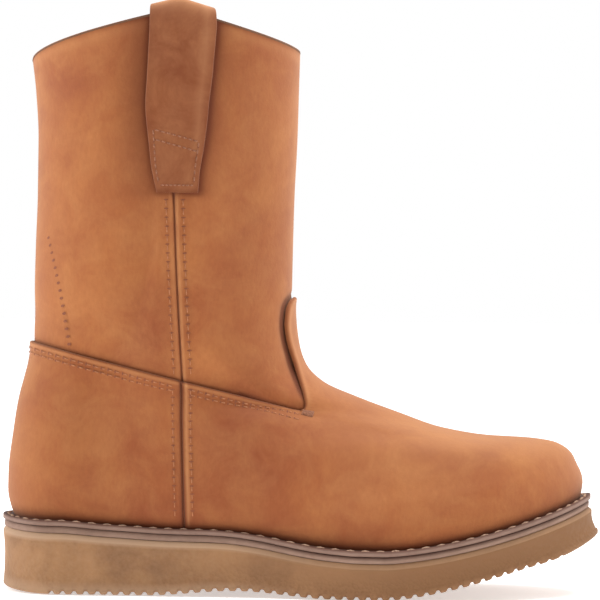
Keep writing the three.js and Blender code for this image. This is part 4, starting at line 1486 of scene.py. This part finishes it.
def tread_stations():
    """x of the stations along one side of the outsole, with the tread's depth at each."""
    centres = []
    x = TREAD_STARTS * SOLE_LENGTH
    while x < TREAD_ENDS * SOLE_LENGTH:
        centres.append(x)
        x += TREAD_PITCH * math.cos(float(tread_slope(x)))
    centres = np.array(centres)
    half = GROOVE_ROWS[:-1, 0]
    offsets = np.concatenate([-half[::-1], [0.0], half])
    inner = (centres[:, None] + offsets).ravel()
    spread, clear = np.linspace(0, 1, 46) * math.pi / 2, 0.8
    heel = WELT_LENGTH * (1 - np.cos(spread)) / 2 * 0.17
    heel = heel[heel < inner[0] - clear]
    nose = WELT_LENGTH - (WELT_LENGTH - inner[-1] - clear) * np.cos(spread)
    stations = np.concatenate([heel, inner, nose])
    nearest = np.abs(stations[:, None] - centres).min(1)
    fades = 1 - 0.6 * smooth(stations / SOLE_LENGTH, TREAD_FADES, TREAD_ENDS)
    return stations, np.interp(nearest, *GROOVE_ROWS.T) * TREAD_DEPTH * fades


def walking_height(x):
    """Height of the tread, a little fuller under the toe."""
    return tread_height(x) - TOE_FILL * bump(x, TOE_FILL_AT, TOE_FILL_WIDTH)


def bevel_foot(x):
    return rubber_top(x) - LIP_HEIGHT


def between(low, high, share):
    """Height at a share of the way between two heights along the sole."""
    def height(x):
        return mix(low(x), high(x), share)
    return height


def make_outsole():
    x, groove = tread_stations()
    away = np.arccos(np.clip(1 - 2 * x / WELT_LENGTH, -1, 1)) / math.pi
    turns = np.concatenate([away, 2 - away[-2:0:-1]])
    x, depth = (np.concatenate([values, values[-2:0:-1]]) for values in (x, groove))
    count = len(turns)
    to_toe = smooth(x, 90, 190)
    # Each layer: ring, and how pale, pebbled and dark it is. The pale on the bevel and the top of the wall
    # is a painted highlight and the dark in the grooves painted shade; the rubber also grows darker towards
    # the toe
    layers = []
    for inset, flare, height in LOW_ROWS:
        cut = np.clip(1 - height / GROOVE_SHOWS, 0, 1)
        ring = sole_ring(turns, inset, walking_height, flare, height + depth * cut)
        dark = (0.5 * depth / TREAD_DEPTH + 0.05) * cut + 0.7 * smooth(x, 80, 210)
        layers.append((ring, mix(0.45, 0.05, smooth(x, 90, 180)), 0.6 if height > 1 else 0.2, dark))
    for hollow, flare, up in WALL_ROWS:
        ring = sole_ring(turns, hollow * WALL_HOLLOW, between(walking_height, bevel_foot, up), flare)
        pebbles = np.interp(up, [0.25, 0.6, 1.0], [1.0, 0.35, 0.0])
        layers.append((ring, mix(0.5, 0.15, to_toe) * (up == 1.0), pebbles, 0.95 * smooth(x, 40, 240)))
    for share in (0.12, 0.5, 0.88, 1.0):
        inset = mix(WALL_ROWS[-1][0] * WALL_HOLLOW, LIP_INSET, share ** 1.4)
        ring = sole_ring(turns, inset, between(bevel_foot, rubber_top, share), 0.2 * (1 - share))
        layers.append((ring, mix(0.75, 0.35, to_toe), 0.0, 0.35 * to_toe))
    rings, *marks = zip(*layers)
    points, faces = ring_sleeve(rings, closed=False)
    lid = ring_lid((len(rings) - 1) * count, count, True)
    # The tread runs from side to side, between the two halves of the lowest ring
    half = count // 2 + 1
    across = rings[0][(count - np.arange(half)) % count]
    shares = (1 - np.cos(np.linspace(0, 1, TREAD_COLUMNS + 1) * math.pi)) / 2
    tread = np.stack([mix(rings[0][:half], across, share) for share in shares], axis=1).reshape(-1, 3)
    faces = np.vstack([faces, lid, grid_faces(half, TREAD_COLUMNS + 1) + len(points)])
    under = (0.1, 0.5, np.repeat(0.5 * groove / TREAD_DEPTH, TREAD_COLUMNS + 1))
    colours = {}
    for key, values, tread_value in zip(("pale", "pebble", "shade_and_burn"), marks, under):
        sides = [np.broadcast_to(value, count) for value in values]
        colours[key] = np.concatenate(sides + [np.broadcast_to(tread_value, len(tread))])
    mesh_piece("wedge_sole", np.vstack([points, tread]), faces, wedge_rubber, ["outsole"], "wedge_rubber",
               colours, sharp=45)


# Camera: the photograph was taken level, from the outer side, about 1.5 m away

CAMERA_DISTANCE = 1500.0
CAMERA_HEIGHT = 148.0
CAMERA_X = -1.98
CAMERA_ROLL = math.radians(0.6)
FRAME_WIDTH = 306.6  # millimetres across the picture at the boot's middle
SENSOR = 36.0


def make_camera():
    data = bpy.data.cameras.new("camera")
    data.sensor_width = SENSOR
    data.lens = SENSOR * CAMERA_DISTANCE / FRAME_WIDTH
    data.clip_end = 20
    camera = bpy.data.objects.new("camera", data)
    camera.location = (CAMERA_X / 1000, -CAMERA_DISTANCE / 1000, CAMERA_HEIGHT / 1000)
    level = Matrix.Rotation(math.radians(90), 3, "X")
    camera.rotation_euler = (Matrix.Rotation(-CAMERA_ROLL, 3, "Y") @ level).to_euler()
    bpy.context.scene.collection.objects.link(camera)
    bpy.context.scene.camera = camera


def area_light(name, place, target, size, power):
    data = bpy.data.lights.new(name, "AREA")
    data.shape = "DISK"
    data.size = size
    data.energy = power
    light = bpy.data.objects.new(name, data)
    light.location = place
    light.rotation_euler = (Vector(target) - Vector(place)).to_track_quat("-Z", "Y").to_euler()
    bpy.context.scene.collection.objects.link(light)


def make_studio():
    """Pale floor, a world that lights the outer side most, and three lamps."""
    floor_mesh = bpy.data.meshes.new("floor")
    half = 20.0
    corners = [(-half, -half, 0), (half, -half, 0), (half, half, 0), (-half, half, 0)]
    floor_mesh.from_pydata(corners, [], [(0, 1, 2, 3)])
    floor = bpy.data.objects.new("floor", floor_mesh)
    floor.location.z = -0.0004
    floor_mesh.materials.append(floor_finish())
    bpy.context.scene.collection.objects.link(floor)
    world = bpy.data.worlds.new("studio")
    world.use_nodes = True
    background = world.node_tree.nodes["Background"]
    background.inputs["Color"].default_value = (1, 1, 1, 1)
    tree = world.node_tree
    direction = tree.nodes.new("ShaderNodeTexCoord").outputs["Generated"]
    split = tree.nodes.new("ShaderNodeSeparateXYZ")
    fade = tree.nodes.new("ShaderNodeMapRange")
    for key, number in (("From Min", -0.7), ("From Max", 0.3), ("To Min", 0.34), ("To Max", 1.0)):
        fade.inputs[key].default_value = number
    tree.links.new(direction, split.inputs[0])
    tree.links.new(split.outputs["Y"], fade.inputs["Value"])
    tree.links.new(fade.outputs["Result"], background.inputs["Strength"])
    bpy.context.scene.world = world
    bpy.context.scene.view_settings.view_transform = "Standard"
    area_light("heel_side", (-1.5, -0.1, 0.7), (0, 0, 0.15), 0.9, 13)
    area_light("overhead", (0.35, -0.05, 1.6), (0, 0, 0.1), 1.0, 26)
    area_light("toe_side", (1.5, 0.15, 0.6), (0, 0, 0.12), 0.8, 4)


make_camera()
make_outsole()
make_midsole()
make_welt()
make_welt_stitches()
make_insole()
make_lining()
make_shaft()
make_topline()
make_vamp()
make_counter()
make_seam_tape()
make_stitches()
make_strap("pull_strap_outer", -1)
make_strap("pull_strap_inner", 1)
make_strap_stitches()
make_studio()
